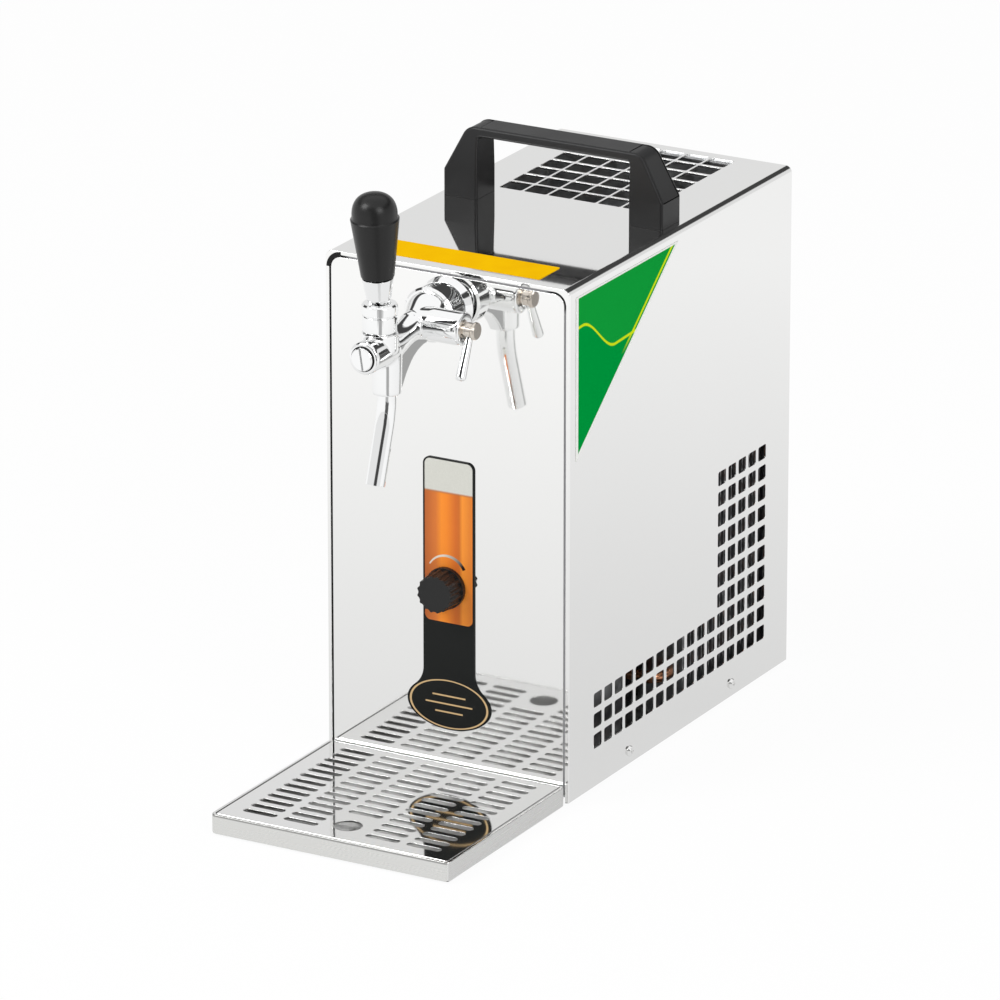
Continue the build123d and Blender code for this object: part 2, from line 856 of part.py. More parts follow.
with BuildPart() as handle_screws:
    nut_top = inside_top - touch
    head_low = handle_low + handle_screw_seat + touch
    for side in (-1, 1):
        spot = (side * handle_screw_x, handle_mid_y)
        with BuildSketch(level(nut_top - handle_screw_tail)):
            with Locations(spot):
                Circle(handle_screw_radius)
        extrude(amount=head_low - nut_top + handle_screw_tail)
        with BuildSketch(level(head_low)):
            with Locations(spot):
                Circle(handle_screw_head)
        extrude(amount=handle_screw_head_rise)
        with BuildSketch(level(head_low + handle_screw_head_rise)):
            with Locations(spot):
                RegularPolygon(handle_screw_key, 6)
        extrude(amount=-handle_screw_key_depth, mode=Mode.SUBTRACT)
        # washer and nut under the casing's top
        with BuildSketch(level(nut_top)):
            with Locations(spot):
                Circle(handle_washer_radius)
        extrude(amount=-handle_washer_thick)
        with BuildSketch(level(nut_top - handle_washer_thick)):
            with Locations(spot):
                RegularPolygon(handle_nut_radius, 6)
        extrude(amount=-handle_nut_thick)

# ------------------------------------------------------------------ badge plate and labels
with BuildPart() as badge_plate:
    with BuildSketch(front_plane(panel_y - touch)) as badge_outline:
        with Locations((badge_x, (badge_top + badge_oval_z) / 2)):
            Rectangle(badge_width, badge_top - badge_oval_z)
        fillet(badge_outline.vertices().group_by(Axis.Y)[-1], badge_corner)
        with Locations((badge_x, badge_oval_z)):
            Ellipse(badge_oval_width / 2, badge_oval_height / 2)
        neck_top = badge_top - 2 * badge_corner
        fillet(badge_outline.vertices().filter_by_position(Axis.Y, badge_oval_z, neck_top), badge_neck_sweep)
    extrude(amount=badge_thick)
    with BuildSketch(front_plane(panel_y)):
        with Locations((0, knob_z)):
            Circle(thermostat_bush_radius + touch)
    extrude(amount=2 * badge_thick, mode=Mode.SUBTRACT)

with BuildPart() as side_label:
    side_label_top = body_height - side_label_down
    with BuildSketch(side_plane(body_width / 2 + touch)):
        with BuildLine():
            Polyline(
                (panel_y + side_label_front, side_label_top),
                (panel_y + side_label_front, side_label_top - side_label_drop),
                (panel_y + side_label_front + side_label_long, side_label_top),
                close=True,
            )
        make_face()
    extrude(amount=label_thick)

with BuildPart() as top_label:
    with BuildSketch(level(body_height + touch)):
        with Locations((0, panel_y + top_label_front + top_label_depth / 2)):
            RectangleRounded(top_label_width, top_label_depth, 1.0)
    extrude(amount=label_thick)

# ------------------------------------------------------------------ thermostat
knob_back_y = panel_y - touch - badge_thick - knob_gap
bush_front_y = panel_y - badge_thick - thermostat_nut_thick - sheet

with BuildPart() as thermostat_body:
    with BuildSketch(front_plane(panel_y + panel_sheet + touch)):
        with Locations((0, knob_z)):
            RectangleRounded(thermostat_width, thermostat_height, thermostat_corner)
    extrude(amount=-thermostat_depth)
    with BuildSketch(front_plane(panel_y + panel_sheet + touch)):
        with Locations((0, knob_z)):
            Circle(thermostat_bush_radius)
    extrude(amount=panel_y + panel_sheet + touch - bush_front_y)
    # ring nut on the bush, under the knob
    with BuildSketch(front_plane(panel_y - 2 * touch - badge_thick)):
        with Locations((0, knob_z)):
            RegularPolygon(thermostat_nut_width / 2, 6, major_radius=False)
    extrude(amount=thermostat_nut_thick)
    with BuildSketch(front_plane(panel_y + panel_sheet + knob_shaft_socket)):
        with Locations((0, knob_z)):
            Circle(knob_shaft_radius + running)
    extrude(amount=knob_shaft_socket + panel_sheet + knob_reach, mode=Mode.SUBTRACT)
    # three terminals at the back
    terminal_width, terminal_thick, terminal_reach = thermostat_terminal
    with BuildSketch(front_plane(panel_y + panel_sheet + touch + thermostat_depth)):
        with Locations((0, knob_z)):
            with GridLocations(thermostat_terminal_pitch, 1, 3, 1):
                Rectangle(terminal_width, terminal_thick)
    extrude(amount=-terminal_reach)

with BuildPart() as thermostat_shaft:
    with BuildSketch(front_plane(panel_y + panel_sheet + knob_shaft_socket - play)):
        with Locations((0, knob_z)):
            Circle(knob_shaft_radius)
    extrude(amount=panel_sheet + knob_shaft_socket - play + knob_reach - knob_face_thick)

with BuildPart() as thermostat_knob:
    with BuildSketch(front_plane(knob_back_y)):
        with Locations((0, knob_z)):
            Circle(knob_radius)
    extrude(amount=knob_skirt)
    with BuildSketch(front_plane(knob_back_y - knob_skirt)):
        with Locations((0, knob_z)):
            Circle(knob_radius - knob_grip_step)
            with PolarLocations(knob_radius + knob_grip_step, knob_flutes):
                Circle(knob_flute_radius, mode=Mode.SUBTRACT)
    extrude(amount=knob_reach - knob_skirt, taper=knob_taper)
    # hollow over the nut, socket on the shaft
    with BuildSketch(front_plane(knob_back_y)):
        with Locations((0, knob_z)):
            Circle(thermostat_nut_width / 2 + knob_hollow_gap)
            Circle(knob_shaft_radius + knob_hub_wall, mode=Mode.SUBTRACT)
    extrude(amount=knob_hollow_depth, mode=Mode.SUBTRACT)
    with BuildSketch(front_plane(knob_back_y)):
        with Locations((0, knob_z)):
            Circle(thermostat_bush_radius + 2 * play)
    extrude(amount=knob_back_y - bush_front_y + play, mode=Mode.SUBTRACT)
    with BuildSketch(front_plane(knob_back_y)):
        with Locations((0, knob_z)):
            Circle(knob_shaft_radius)
    extrude(amount=panel_y - (knob_reach - knob_face_thick) - knob_back_y, both=True, mode=Mode.SUBTRACT)

# ------------------------------------------------------------------ tap
tap_axis = front_plane(panel_y)
valve_z = tap_z - valve_drop
lever_z = tap_z + lever_rise
bonnet_bottom = tap_z + bonnet_bottom_rise
bonnet_top = bonnet_bottom + bonnet_height
sleeve_top = tap_z + sleeve_top_rise
tail_radius = shank_radius + shank_collar
lever_line_y = panel_y - lever_y


def ring(plane, centre, outer, inner, start, length):
    """Plain ring about an axis, starting a distance along the plane's normal."""
    with BuildPart() as band:
        with BuildSketch(plane.offset(start)):
            with Locations(centre):
                Circle(outer)
                if inner:
                    Circle(inner, mode=Mode.SUBTRACT)
        extrude(amount=length)
    return band.part


def ahead(distance, drop):
    """Point on the tap's middle plane: distance in front of the panel, drop under the shank axis."""
    return (0, panel_y - distance, tap_z - drop)


def along(start, end, shift=0.0):
    """Plane across the line from one point to another, a distance along it."""
    run = Vector(*end) - Vector(*start)
    return Plane(origin=start, x_dir=(1, 0, 0), z_dir=run).offset(shift)


with BuildPart() as tap_shank:
    shank_reach = coupling_start + coupling_seat - sheet / 2
    add(ring(tap_axis, (0, tap_z), shank_radius, shank_bore, -shank_tail, shank_tail + shank_reach))
    # collar that the coupling nut pulls against
    add(ring(tap_axis, (0, tap_z), tail_radius, shank_bore, rosette_thick + touch, shank_collar_thick))

with BuildPart() as shank_flange:
    with BuildSketch(tap_axis.offset(touch)):
        with Locations((0, tap_z)):
            Circle(rosette_radius)
    extrude(amount=rosette_thick - touch, taper=rosette_slope)
    with BuildSketch(tap_axis):
        with Locations((0, tap_z)):
            Circle(shank_radius + touch)
    extrude(amount=2 * rosette_thick, mode=Mode.SUBTRACT)

with BuildPart() as shank_nut:
    with BuildSketch(front_plane(panel_y + panel_sheet + touch)):
        with Locations((0, tap_z)):
            RegularPolygon(shank_nut_width / 2, 6, major_radius=False)
            Circle(shank_radius + touch, mode=Mode.SUBTRACT)
    extrude(amount=-shank_nut_thick)

with BuildPart() as tap_coupling_nut:
    with BuildSketch(tap_axis.offset(coupling_start)):
        with Locations((0, tap_z)):
            Circle(coupling_radius)
    extrude(amount=coupling_length)
    chamfer(tap_coupling_nut.edges().filter_by(GeomType.CIRCLE), coupling_edge)
    with BuildSketch(tap_axis.offset(coupling_start)):
        with Locations((0, tap_z)):
            Circle(shank_radius + touch)
    extrude(amount=coupling_length, mode=Mode.SUBTRACT)
    # the tap's tail sits in the front of the nut
    with BuildSketch(tap_axis.offset(coupling_start + coupling_seat)):
        with Locations((0, tap_z)):
            Circle(tail_radius + play)
    extrude(amount=coupling_length, mode=Mode.SUBTRACT)
    # shallow spanner notches
    with BuildSketch(tap_axis.offset(coupling_start + coupling_notch_edge)):
        with Locations((0, tap_z)):
            with PolarLocations(coupling_radius, coupling_notches, start_angle=30):
                Circle(coupling_notch_radius)
    extrude(amount=coupling_length - 2 * coupling_notch_edge, mode=Mode.SUBTRACT)

spout_in_point = ahead(*spout_in)
spout_bend_point = ahead(*spout_bend)
spout_out_point = ahead(*spout_out)

with BuildPart() as tap_body:
    # tail, and the casting from the barrel down to the valve chest in one flowing form
    add(ring(tap_axis, (0, tap_z), tail_radius, 0, coupling_start + coupling_seat + touch, coupling_length))
    for distance, drop, half_width, half_height in casting_rows:
        with BuildSketch(tap_axis.offset(distance)):
            with Locations((0, tap_z - drop)):
                Ellipse(half_width, half_height)
    loft()
    # valve chest, bonnet seat and spout socket
    with BuildPart(mode=Mode.PRIVATE) as chest:
        add(ring(tap_axis, (0, valve_z), valve_radius, 0, chest_back, valve_front - chest_back))
        chamfer(chest.edges().filter_by(GeomType.CIRCLE), valve_edge)
    add(chest.part)
    with BuildSketch(level(valve_z)):
        with Locations((0, lever_line_y)):
            Circle(bonnet_radius)
    extrude(amount=bonnet_bottom - valve_z)
    socket_top = ahead(spout_in[0], socket_top_drop)
    spout_lean = along(spout_in_point, spout_bend_point)
    with BuildSketch(Plane(origin=socket_top, x_dir=(1, 0, 0), z_dir=spout_lean.z_dir)):
        Circle(socket_top_radius)
    with BuildSketch(spout_lean.offset(socket_low_drop - spout_in[1])):
        Circle(socket_low_radius)
    loft()
    # web from the barrel's underside to the back of the socket
    web_last, web_low = web_edge[-1]
    with BuildSketch(side_plane(-web_half_thick)):
        with BuildLine():
            Spline(*[(panel_y - distance, tap_z - drop) for distance, drop in web_edge])
            Polyline(
                (panel_y - web_last, tap_z - web_low),
                (panel_y - spout_in[0], tap_z - web_low),
                (panel_y - lever_y, tap_z - valve_drop),
                (panel_y - valve_back, tap_z - valve_drop),
                (panel_y - web_edge[0][0], tap_z),
                (panel_y - web_edge[0][0], tap_z - web_edge[0][1]),
            )
        make_face()
    extrude(amount=2 * web_half_thick)
    # side boss of the flow compensator
    boss_spot = (panel_y - boss_y, tap_z)
    with BuildSketch(side_plane(0)):
        with Locations(boss_spot):
            Circle(boss_root_radius)
    with BuildSketch(side_plane(boss_root)):
        with Locations(boss_spot):
            Circle(boss_radius)
    loft()
    with BuildSketch(side_plane(boss_root)):
        with Locations(boss_spot):
            Circle(boss_radius)
    extrude(amount=boss_reach - boss_root)
    chamfer(tap_body.faces().sort_by(Axis.X)[-1].edges(), boss_edge)
    # inside: inlet, barrel bore and neck channel
    with BuildSketch(tap_axis.offset(coupling_start + sheet)):
        with Locations((0, tap_z)):
            Circle(shank_bore)
    extrude(amount=cone_front - coupling_start, mode=Mode.SUBTRACT)
    with BuildSketch(tap_axis.offset(cone_front - cone_length - cone_travel)):
        with Locations((0, tap_z)):
            Circle(barrel_bore)
    extrude(amount=cone_length + 2 * cone_travel, mode=Mode.SUBTRACT)
    channel_in = ahead(cone_front, channel_in_drop)
    channel_out = ahead(channel_end, valve_drop)
    with BuildSketch(along(channel_in, channel_out)):
        Circle(channel_radius)
    extrude(amount=channel_end - cone_front, mode=Mode.SUBTRACT)
    # valve bore, slot of the lever's finger, bonnet's seat
    with BuildSketch(tap_axis.offset(valve_back + sheet)):
        with Locations((0, valve_z)):
            Circle(valve_bore)
    extrude(amount=valve_front - valve_back, mode=Mode.SUBTRACT)
    with BuildSketch(level(valve_z)):
        with Locations((0, lever_line_y)):
            Rectangle(2 * (finger_ball + play), finger_slot)
    extrude(amount=bonnet_bottom - valve_z, mode=Mode.SUBTRACT)
    with BuildSketch(level(bonnet_bottom - bonnet_spigot_drop - play)):
        with Locations((0, lever_line_y)):
            Circle(bonnet_spigot + touch)
    extrude(amount=bonnet_spigot_drop + play, mode=Mode.SUBTRACT)
    # spout's hole, and the way down to it
    with BuildSketch(Plane(origin=socket_top, x_dir=(1, 0, 0), z_dir=spout_lean.z_dir)):
        Circle(spout_radius - spout_wall)
    extrude(amount=socket_low_drop, mode=Mode.SUBTRACT)
    with BuildSketch(spout_lean):
        Circle(spout_radius + touch)
    extrude(amount=socket_low_drop, mode=Mode.SUBTRACT)
    # spindle's hole and the recess round its hub
    with BuildSketch(side_plane(0)):
        with Locations(boss_spot):
            Circle(spindle_radius + running)
    extrude(amount=2 * boss_reach, mode=Mode.SUBTRACT)
    with BuildSketch(side_plane(boss_reach - boss_recess)):
        with Locations(boss_spot):
            Circle(spindle_hub_radius + boss_recess_gap)
    extrude(amount=boss_reach, mode=Mode.SUBTRACT)

spout_tube = pipe(
    (spout_in_point, spout_bend_point, spout_out_point), spout_round, spout_radius, spout_radius - spout_wall
)

with BuildPart() as valve_cap:
    with BuildSketch(tap_axis.offset(valve_front + touch)):
        with Locations((0, valve_z)):
            Circle(cap_radius)
    extrude(amount=cap_proud)
    chamfer(valve_cap.faces().sort_by(Axis.Y)[0].edges(), cap_edge)
    with BuildSketch(tap_axis.offset(valve_front + touch)):
        with Locations((0, valve_z)):
            Circle(valve_bore - touch)
    extrude(amount=-cap_spigot)
    with BuildSketch(tap_axis.offset(valve_front + touch + cap_proud)):
        with Locations((0, valve_z)):
            Rectangle(cap_slot_width, 2 * cap_radius, rotation=cap_slot_turn)
    extrude(amount=-cap_slot_depth, mode=Mode.SUBTRACT)

lever_pivot = Axis((0, lever_line_y, lever_z), (1, 0, 0))
lever_profile_plane = Plane(origin=(0, lever_line_y, 0), x_dir=(1, 0, 0), z_dir=(0, -1, 0))
lever_upright = Axis((0, lever_line_y, 0), (0, 0, 1))


def upright_profile(points):
    """Body of revolution about the lever's line, from (radius, height) points."""
    with BuildPart() as turned:
        with BuildSketch(lever_profile_plane):
            with BuildLine():
                Polyline(*points, close=True)
            make_face()
        revolve(axis=lever_upright)
    return turned.part


ball_room = lever_ball + ball_gap
opening_radius = sqrt(ball_room ** 2 - socket_rim_rise ** 2)
stem_swing = tan(radians(lever_forward))
stem_slant_radius = stem_radius / cos(radians(lever_forward))
opening_top_radius = stem_slant_radius + (bonnet_top - lever_z) * stem_swing + 2 * play

with BuildPart() as lever_bonnet:
    spigot_low = bonnet_bottom - bonnet_spigot_drop
    groove_z = bonnet_top - bonnet_groove
    groove_radius = bonnet_radius - bonnet_groove_depth
    edge = bonnet_groove_depth
    add(upright_profile([
        (0, spigot_low),
        (bonnet_spigot, spigot_low),
        (bonnet_spigot, bonnet_bottom + touch),
        (bonnet_radius - edge, bonnet_bottom + touch),
        (bonnet_radius - edge / 2, bonnet_bottom + edge),
        (bonnet_radius - edge / 2, groove_z - edge),
        (groove_radius, groove_z - edge / 2),
        (groove_radius, groove_z),
        (bonnet_radius, groove_z + edge / 2),
        (bonnet_radius, bonnet_top - edge),
        (bonnet_radius - edge, bonnet_top),
        (0, bonnet_top),
    ]))
    add(upright_profile([
        (0, spigot_low - sheet),
        (ball_room, spigot_low - sheet),
        (ball_room, lever_z),
        (0, lever_z),
    ]), mode=Mode.SUBTRACT)
    with Locations((0, lever_line_y, lever_z)):
        Sphere(ball_room, mode=Mode.SUBTRACT)
    add(upright_profile([
        (0, lever_z),
        (opening_radius, lever_z + socket_rim_rise),
        (opening_top_radius, bonnet_top + touch),
        (opening_top_radius, bonnet_top + sheet),
        (0, bonnet_top + sheet),
    ]), mode=Mode.SUBTRACT)

# ball, stem, sleeve and finger are drawn upright and then leant forward about the ball
with BuildPart() as upright_stem:
    with Locations((0, lever_line_y, lever_z)):
        Sphere(lever_ball)
    with Locations((0, lever_line_y, valve_z)):
        Sphere(finger_ball)
    with BuildSketch(level(valve_z)):
        with Locations((0, lever_line_y)):
            Circle(finger_radius)
    extrude(amount=lever_z - valve_z)
    with BuildSketch(level(lever_z)):
        with Locations((0, lever_line_y)):
            Circle(stem_radius)
    extrude(amount=sleeve_top + stem_tail - lever_z)
    # chrome sleeve with a hollow underside that clears the bonnet at every angle
    sleeve_low = lever_z + sqrt(sleeve_hollow ** 2 - sleeve_low_radius ** 2)
    add(upright_profile([
        (0, sleeve_low),
        (sleeve_low_radius, sleeve_low),
        (sleeve_top_radius, sleeve_top),
        (0, sleeve_top),
    ]))
    with BuildPart(mode=Mode.PRIVATE) as hollow:
        with Locations((0, lever_line_y, lever_z)):
            Sphere(sleeve_hollow)
            Sphere(lever_ball, mode=Mode.SUBTRACT)
        with BuildSketch(level(lever_z)):
            with Locations((0, lever_line_y)):
                Circle(stem_radius)
        extrude(amount=2 * sleeve_hollow, mode=Mode.SUBTRACT)
        split(bisect_by=level(lever_z + lever_ball), keep=Keep.TOP)
    add(hollow.part, mode=Mode.SUBTRACT)

with BuildPart() as lever_stem:
    add(upright_stem.part.rotate(lever_pivot, lever_lean))

with BuildPart() as upright_knob:
    knob_low = sleeve_top + touch
    cone_top = knob_low + tap_knob_cone
    dome_low = cone_top + tap_knob_collar
    knob_top = knob_low + tap_knob_height
    with BuildSketch(lever_profile_plane):
        with BuildLine():
            Polyline(
                (0, knob_top),
                (0, knob_low),
                (tap_knob_low_radius - tap_knob_low_edge, knob_low),
                (tap_knob_low_radius, knob_low + tap_knob_low_edge),
                (tap_knob_radius, cone_top),
                (tap_knob_radius - tap_knob_step, cone_top + tap_knob_step),
                (tap_knob_dome_radius, dome_low),
            )
            Spline((tap_knob_dome_radius, dome_low), (0, knob_top), tangents=[(0, 1), (-1, 0)])
        make_face()
    revolve(axis=lever_upright)
    with BuildSketch(level(sleeve_top)):
        with Locations((0, lever_line_y)):
            Circle(stem_radius + touch)
    extrude(amount=stem_tail + sheet, mode=Mode.SUBTRACT)

with BuildPart() as tap_knob:
    add(upright_knob.part.rotate(lever_pivot, lever_lean))

# at rest the plunger's middle is behind the lever's line, because the lever leans forward
plunger_y = lever_y - (lever_z - valve_z) * radians(lever_lean)

with BuildPart() as valve_plunger:
    plunger_radius = valve_bore - running
    slot_floor = valve_z - finger_ball - play
    plunger_start = plunger_y - plunger_length / 2
    add(ring(tap_axis, (0, valve_z), plunger_radius, 0, plunger_start, plunger_length))
    with BuildSketch(level(slot_floor)):
        with Locations((0, panel_y - plunger_y)):
            Rectangle(4 * valve_bore, 2 * plunger_slot)
    extrude(amount=4 * valve_bore, mode=Mode.SUBTRACT)
    groove_radius = plunger_radius - 2 * ring_thick - touch
    land_spots = (plunger_start + plunger_land, plunger_start + plunger_length - plunger_land)
    for spot in land_spots:
        groove = ring(tap_axis, (0, valve_z), 2 * valve_bore, groove_radius, spot - plunger_groove / 2,
                      plunger_groove)
        add(groove, mode=Mode.SUBTRACT)

with BuildPart() as plunger_seals:
    for spot in land_spots:
        with Locations(Location((0, panel_y - spot, valve_z), (90, 0, 0))):
            Torus(plunger_radius - ring_thick, ring_thick)

# ------------------------------------------------------------------ flow compensator
with BuildPart() as compensator_cone:
    cone_radius = barrel_bore - 1.5 * running
    taper_length, taper_depth = cone_taper
    add(ring(tap_axis, (0, tap_z), cone_radius, 0, cone_front - cone_length, cone_length))
    chamfer(compensator_cone.faces().sort_by(Axis.Y)[-1].edges(), length=taper_length, length2=taper_depth)
    with BuildSketch(tap_axis.offset(cone_front - cone_length)):
        with Locations((0, tap_z)):
            with PolarLocations(cone_radius, cone_flutes, start_angle=30):
                Circle(cone_flute_radius)
    extrude(amount=cone_length, mode=Mode.SUBTRACT)
    # upright groove for the eccentric pin
    pin_start = spindle_radius - eccentric_depth
    with BuildSketch(side_plane(pin_start - eccentric_depth / 2)):
        with Locations(boss_spot):
            Rectangle(2 * (eccentric_pin + sheet / 2), 4 * barrel_bore)
    extrude(amount=barrel_bore, mode=Mode.SUBTRACT)

with BuildPart() as compensator_spindle:
    spindle_start = barrel_bore + spindle_gap
    hub_start = boss_reach - boss_recess + play
    with BuildSketch(side_plane(spindle_start)):
        with Locations(boss_spot):
            Circle(spindle_radius)
    extrude(amount=hub_start - spindle_start)
    with BuildSketch(side_plane(hub_start)):
        with Locations(boss_spot):
            Circle(spindle_hub_radius)
    extrude(amount=spindle_reach - hub_start)
    with BuildPart(mode=Mode.PRIVATE) as spindle_head:
        with BuildSketch(side_plane(spindle_reach - spindle_head_thick)):
            with Locations(boss_spot):
                Circle(spindle_head_radius)
        extrude(amount=spindle_head_thick)
        fillet(spindle_head.edges().filter_by(GeomType.CIRCLE), spindle_head_edge)
    add(spindle_head.part)
    # eccentric pin that works the cone
    with BuildSketch(side_plane(pin_start)):
        with Locations((panel_y - boss_y, tap_z - eccentric)):
            Circle(eccentric_pin)
    extrude(amount=spindle_start - pin_start)
    arm_plane = Plane(
        origin=(arm_x, panel_y - boss_y, tap_z),
        x_dir=(1, 0, 0),
        z_dir=(0, -sin(radians(arm_lean)), -cos(radians(arm_lean))),
    )
    with BuildSketch(arm_plane.offset(arm_spigot_start - touch)):
        Circle(arm_spigot + touch)
    extrude(amount=arm_length, mode=Mode.SUBTRACT)

with BuildPart() as compensator_arm:
    with BuildSketch(arm_plane.offset(arm_spigot_start)):
        Circle(arm_spigot)
    extrude(amount=arm_spigot_length)
    with BuildSketch(arm_plane.offset(spindle_head_radius + touch)):
        Circle(arm_root_radius)
    with BuildSketch(arm_plane.offset(arm_length)):
        Circle(arm_tip_radius)
    loft()
    fillet(compensator_arm.faces().sort_by(Axis.Z)[0].edges(), arm_tip_round)

# ------------------------------------------------------------------ drip tray and grate
tray_back = panel_y - tray_gap
tray_mid_y = tray_back - tray_depth / 2

with BuildPart() as drip_tray:
    with BuildSketch(level(tray_floor_z)):
        with Locations((0, tray_mid_y)):
            RectangleRounded(tray_width, tray_depth, tray_corner)
    extrude(amount=tray_top - tray_floor_z)
    fillet(drip_tray.faces().sort_by(Axis.Z)[0].edges(), tray_bottom_edge)
    fillet(drip_tray.faces().sort_by(Axis.Z)[-1].edges(), tray_edge)
    with BuildSketch(level(tray_floor_z + tray_floor)):
        with Locations((0, tray_mid_y)):
            RectangleRounded(
                tray_width - 2 * tray_wall, tray_depth - 2 * tray_wall, tray_corner - grate_corner
            )
    extrude(amount=tray_top, mode=Mode.SUBTRACT)
    # pressed feet
    with BuildSketch(level(0)):
        with Locations((0, tray_mid_y)):
            with GridLocations(tray_width - 2 * tray_foot_inset, tray_depth - 2 * tray_foot_inset, 2, 2):
                Circle(tray_foot_radius)
    extrude(amount=tray_floor_z)
    # two tongues that slide in the guides under the body
    with BuildSketch(level(tongue_z)):
        tongue_mid_y = tray_back + tongue_reach / 2 - tray_wall / 2
        with Locations(*[(side * tongue_x, tongue_mid_y) for side in (-1, 1)]):
            Rectangle(tongue_width, tongue_reach + tray_wall)
    extrude(amount=tongue_thick)

with BuildPart() as drip_grate:
    grate_width = tray_width - 2 * tray_wall - 2 * grate_gap
    grate_depth = tray_depth - 2 * tray_wall - 2 * grate_gap
    grate_foot = tray_floor_z + tray_floor + touch
    with BuildSketch(level(grate_foot)):
        with Locations((0, tray_mid_y)):
            RectangleRounded(grate_width, grate_depth, grate_corner)
    extrude(amount=tray_top - grate_foot)
    fillet(drip_grate.faces().sort_by(Axis.Z)[-1].edges(), tray_edge)
    with BuildSketch(level(grate_foot)):
        with Locations((0, tray_mid_y)):
            RectangleRounded(grate_width - 2 * grate_skirt, grate_depth - 2 * grate_skirt, grate_corner / 2)
    extrude(amount=tray_top - grate_foot - grate_thick, mode=Mode.SUBTRACT)
    with BuildSketch(level(tray_top + sheet)):
        for column in range(slot_columns):
            rows = short_column_rows if column == slot_columns // 2 else slot_rows
            column_x = (column - (slot_columns - 1) / 2) * slot_pitch_x
            with Locations((column_x, panel_y - slot_last_y - (rows - 1) * slot_pitch_y / 2)):
                with GridLocations(1, slot_pitch_y, 1, rows):
                    SlotOverall(slot_length, slot_width)
        with Locations((0, panel_y - finger_hole_y)):
            Circle(finger_hole_radius)
    extrude(amount=-2 * grate_thick - sheet, mode=Mode.SUBTRACT)

# ------------------------------------------------------------------ cooling block, coils and jacket
jacket_top = tap_z - outlet_rise
block_bottom = jacket_top - jacket_wall - touch - block_height
jacket_bottom = block_bottom - jacket_wall
block_half_width = inside_x - block_side_room
coil_pitch = (block_height - coil_first_row - coil_last_row) / (beer_rows - 1)
coil_half_run = block_half_width - coil_side_room
block_front_y = panel_y + jacket_front + jacket_wall + 2 * coil_radius + coil_seat + touch
block_back_y = block_front_y + block_depth
jacket_front_y = panel_y + jacket_front
jacket_back_y = block_back_y + 2 * coil_radius + coil_seat + touch + jacket_wall
cavity_half_width = block_half_width + touch
jacket_half_width = cavity_half_width + jacket_wall
first_row_z = block_bottom + coil_first_row
beer_coil_y = block_front_y - coil_seat - coil_radius
cooling_coil_y = block_back_y + coil_seat + coil_radius
row_bend = coil_pitch / 2 - touch / 50      # a touch less than half the pitch, so that two bends meet

with BuildPart() as cooling_block:
    with BuildSketch(level(block_bottom)):
        with Locations((0, (block_front_y + block_back_y) / 2)):
            RectangleRounded(2 * block_half_width, block_depth, block_corner)
    extrude(amount=block_height)


def winding(side, rows, y, end_x):
    """Corner points of a flat winding that starts beyond one side of the block."""
    points = []
    for row in range(rows):
        z = first_row_z + row * coil_pitch
        turn_side = side if row % 2 else -side
        if row:
            points.append((-turn_side * coil_half_run, y, z))
        points.append((turn_side * coil_half_run if row < rows - 1 else end_x, y, z))
    return points


beer_points = [
    (-side_port_x, beer_coil_y + coil_tail, first_row_z),
    (-side_port_x, beer_coil_y, first_row_z),
]
beer_points += winding(-1, beer_rows, beer_coil_y, 0)
beer_points += [(0, beer_coil_y, jacket_top + outlet_tail)]
beer_bends = [coil_elbow] + [row_bend] * (2 * (beer_rows - 1)) + [coil_elbow]
beer_coil = pipe(beer_points, beer_bends, coil_radius, coil_radius - coil_wall)

capillary_line_y = panel_y + capillary_y
riser_y = panel_y + corridor_y
suction_line_y = panel_y + suction_y
cooling_out_y = riser_y - coil_radius
cooling_last_z = first_row_z + (cooling_rows - 1) * coil_pitch
cooling_points = [
    (side_port_x, capillary_line_y - capillary_tail, first_row_z),
    (side_port_x, cooling_coil_y, first_row_z),
]
cooling_points += winding(1, cooling_rows, cooling_coil_y, side_port_x)
cooling_points += [(side_port_x, cooling_out_y, cooling_last_z)]
cooling_bends = [coil_elbow] + [row_bend] * (2 * (cooling_rows - 1)) + [coil_elbow]
evaporator_coil = pipe(cooling_points, cooling_bends, coil_radius, coil_radius - coil_wall)

with BuildPart() as insulation_jacket:
    jacket_length = jacket_back_y - jacket_front_y
    with BuildSketch(level(jacket_bottom)):
        with Locations((0, (jacket_front_y + jacket_back_y) / 2)):
            RectangleRounded(2 * jacket_half_width, jacket_length, jacket_corner)
    extrude(amount=jacket_top - jacket_bottom)
    with BuildSketch(level(block_bottom)):
        with Locations((0, (jacket_front_y + jacket_back_y) / 2)):
            Rectangle(2 * cavity_half_width, jacket_length - 2 * jacket_wall)
    extrude(amount=block_height + touch, mode=Mode.SUBTRACT)
    # tube exits
    exit_radius = coil_radius + play
    with BuildSketch(side_plane(0)):
        with Locations((beer_coil_y, first_row_z)):
            Circle(exit_radius)
    extrude(amount=-2 * jacket_half_width, mode=Mode.SUBTRACT)
    with BuildSketch(side_plane(0)):
        with Locations((cooling_coil_y, first_row_z), (cooling_coil_y, cooling_last_z)):
            Circle(exit_radius)
    extrude(amount=2 * jacket_half_width, mode=Mode.SUBTRACT)
    with BuildSketch(level(block_bottom + block_height)):
        with Locations((0, beer_coil_y)):
            Circle(exit_radius)
    extrude(amount=2 * jacket_wall, mode=Mode.SUBTRACT)
    # the two foam halves part in the middle
    with BuildSketch(front_plane((jacket_front_y + jacket_back_y) / 2 + touch)):
        with Locations((0, (jacket_bottom + jacket_top) / 2)):
            Rectangle(4 * jacket_half_width, 2 * jacket_top)
    extrude(amount=2 * touch, mode=Mode.SUBTRACT)

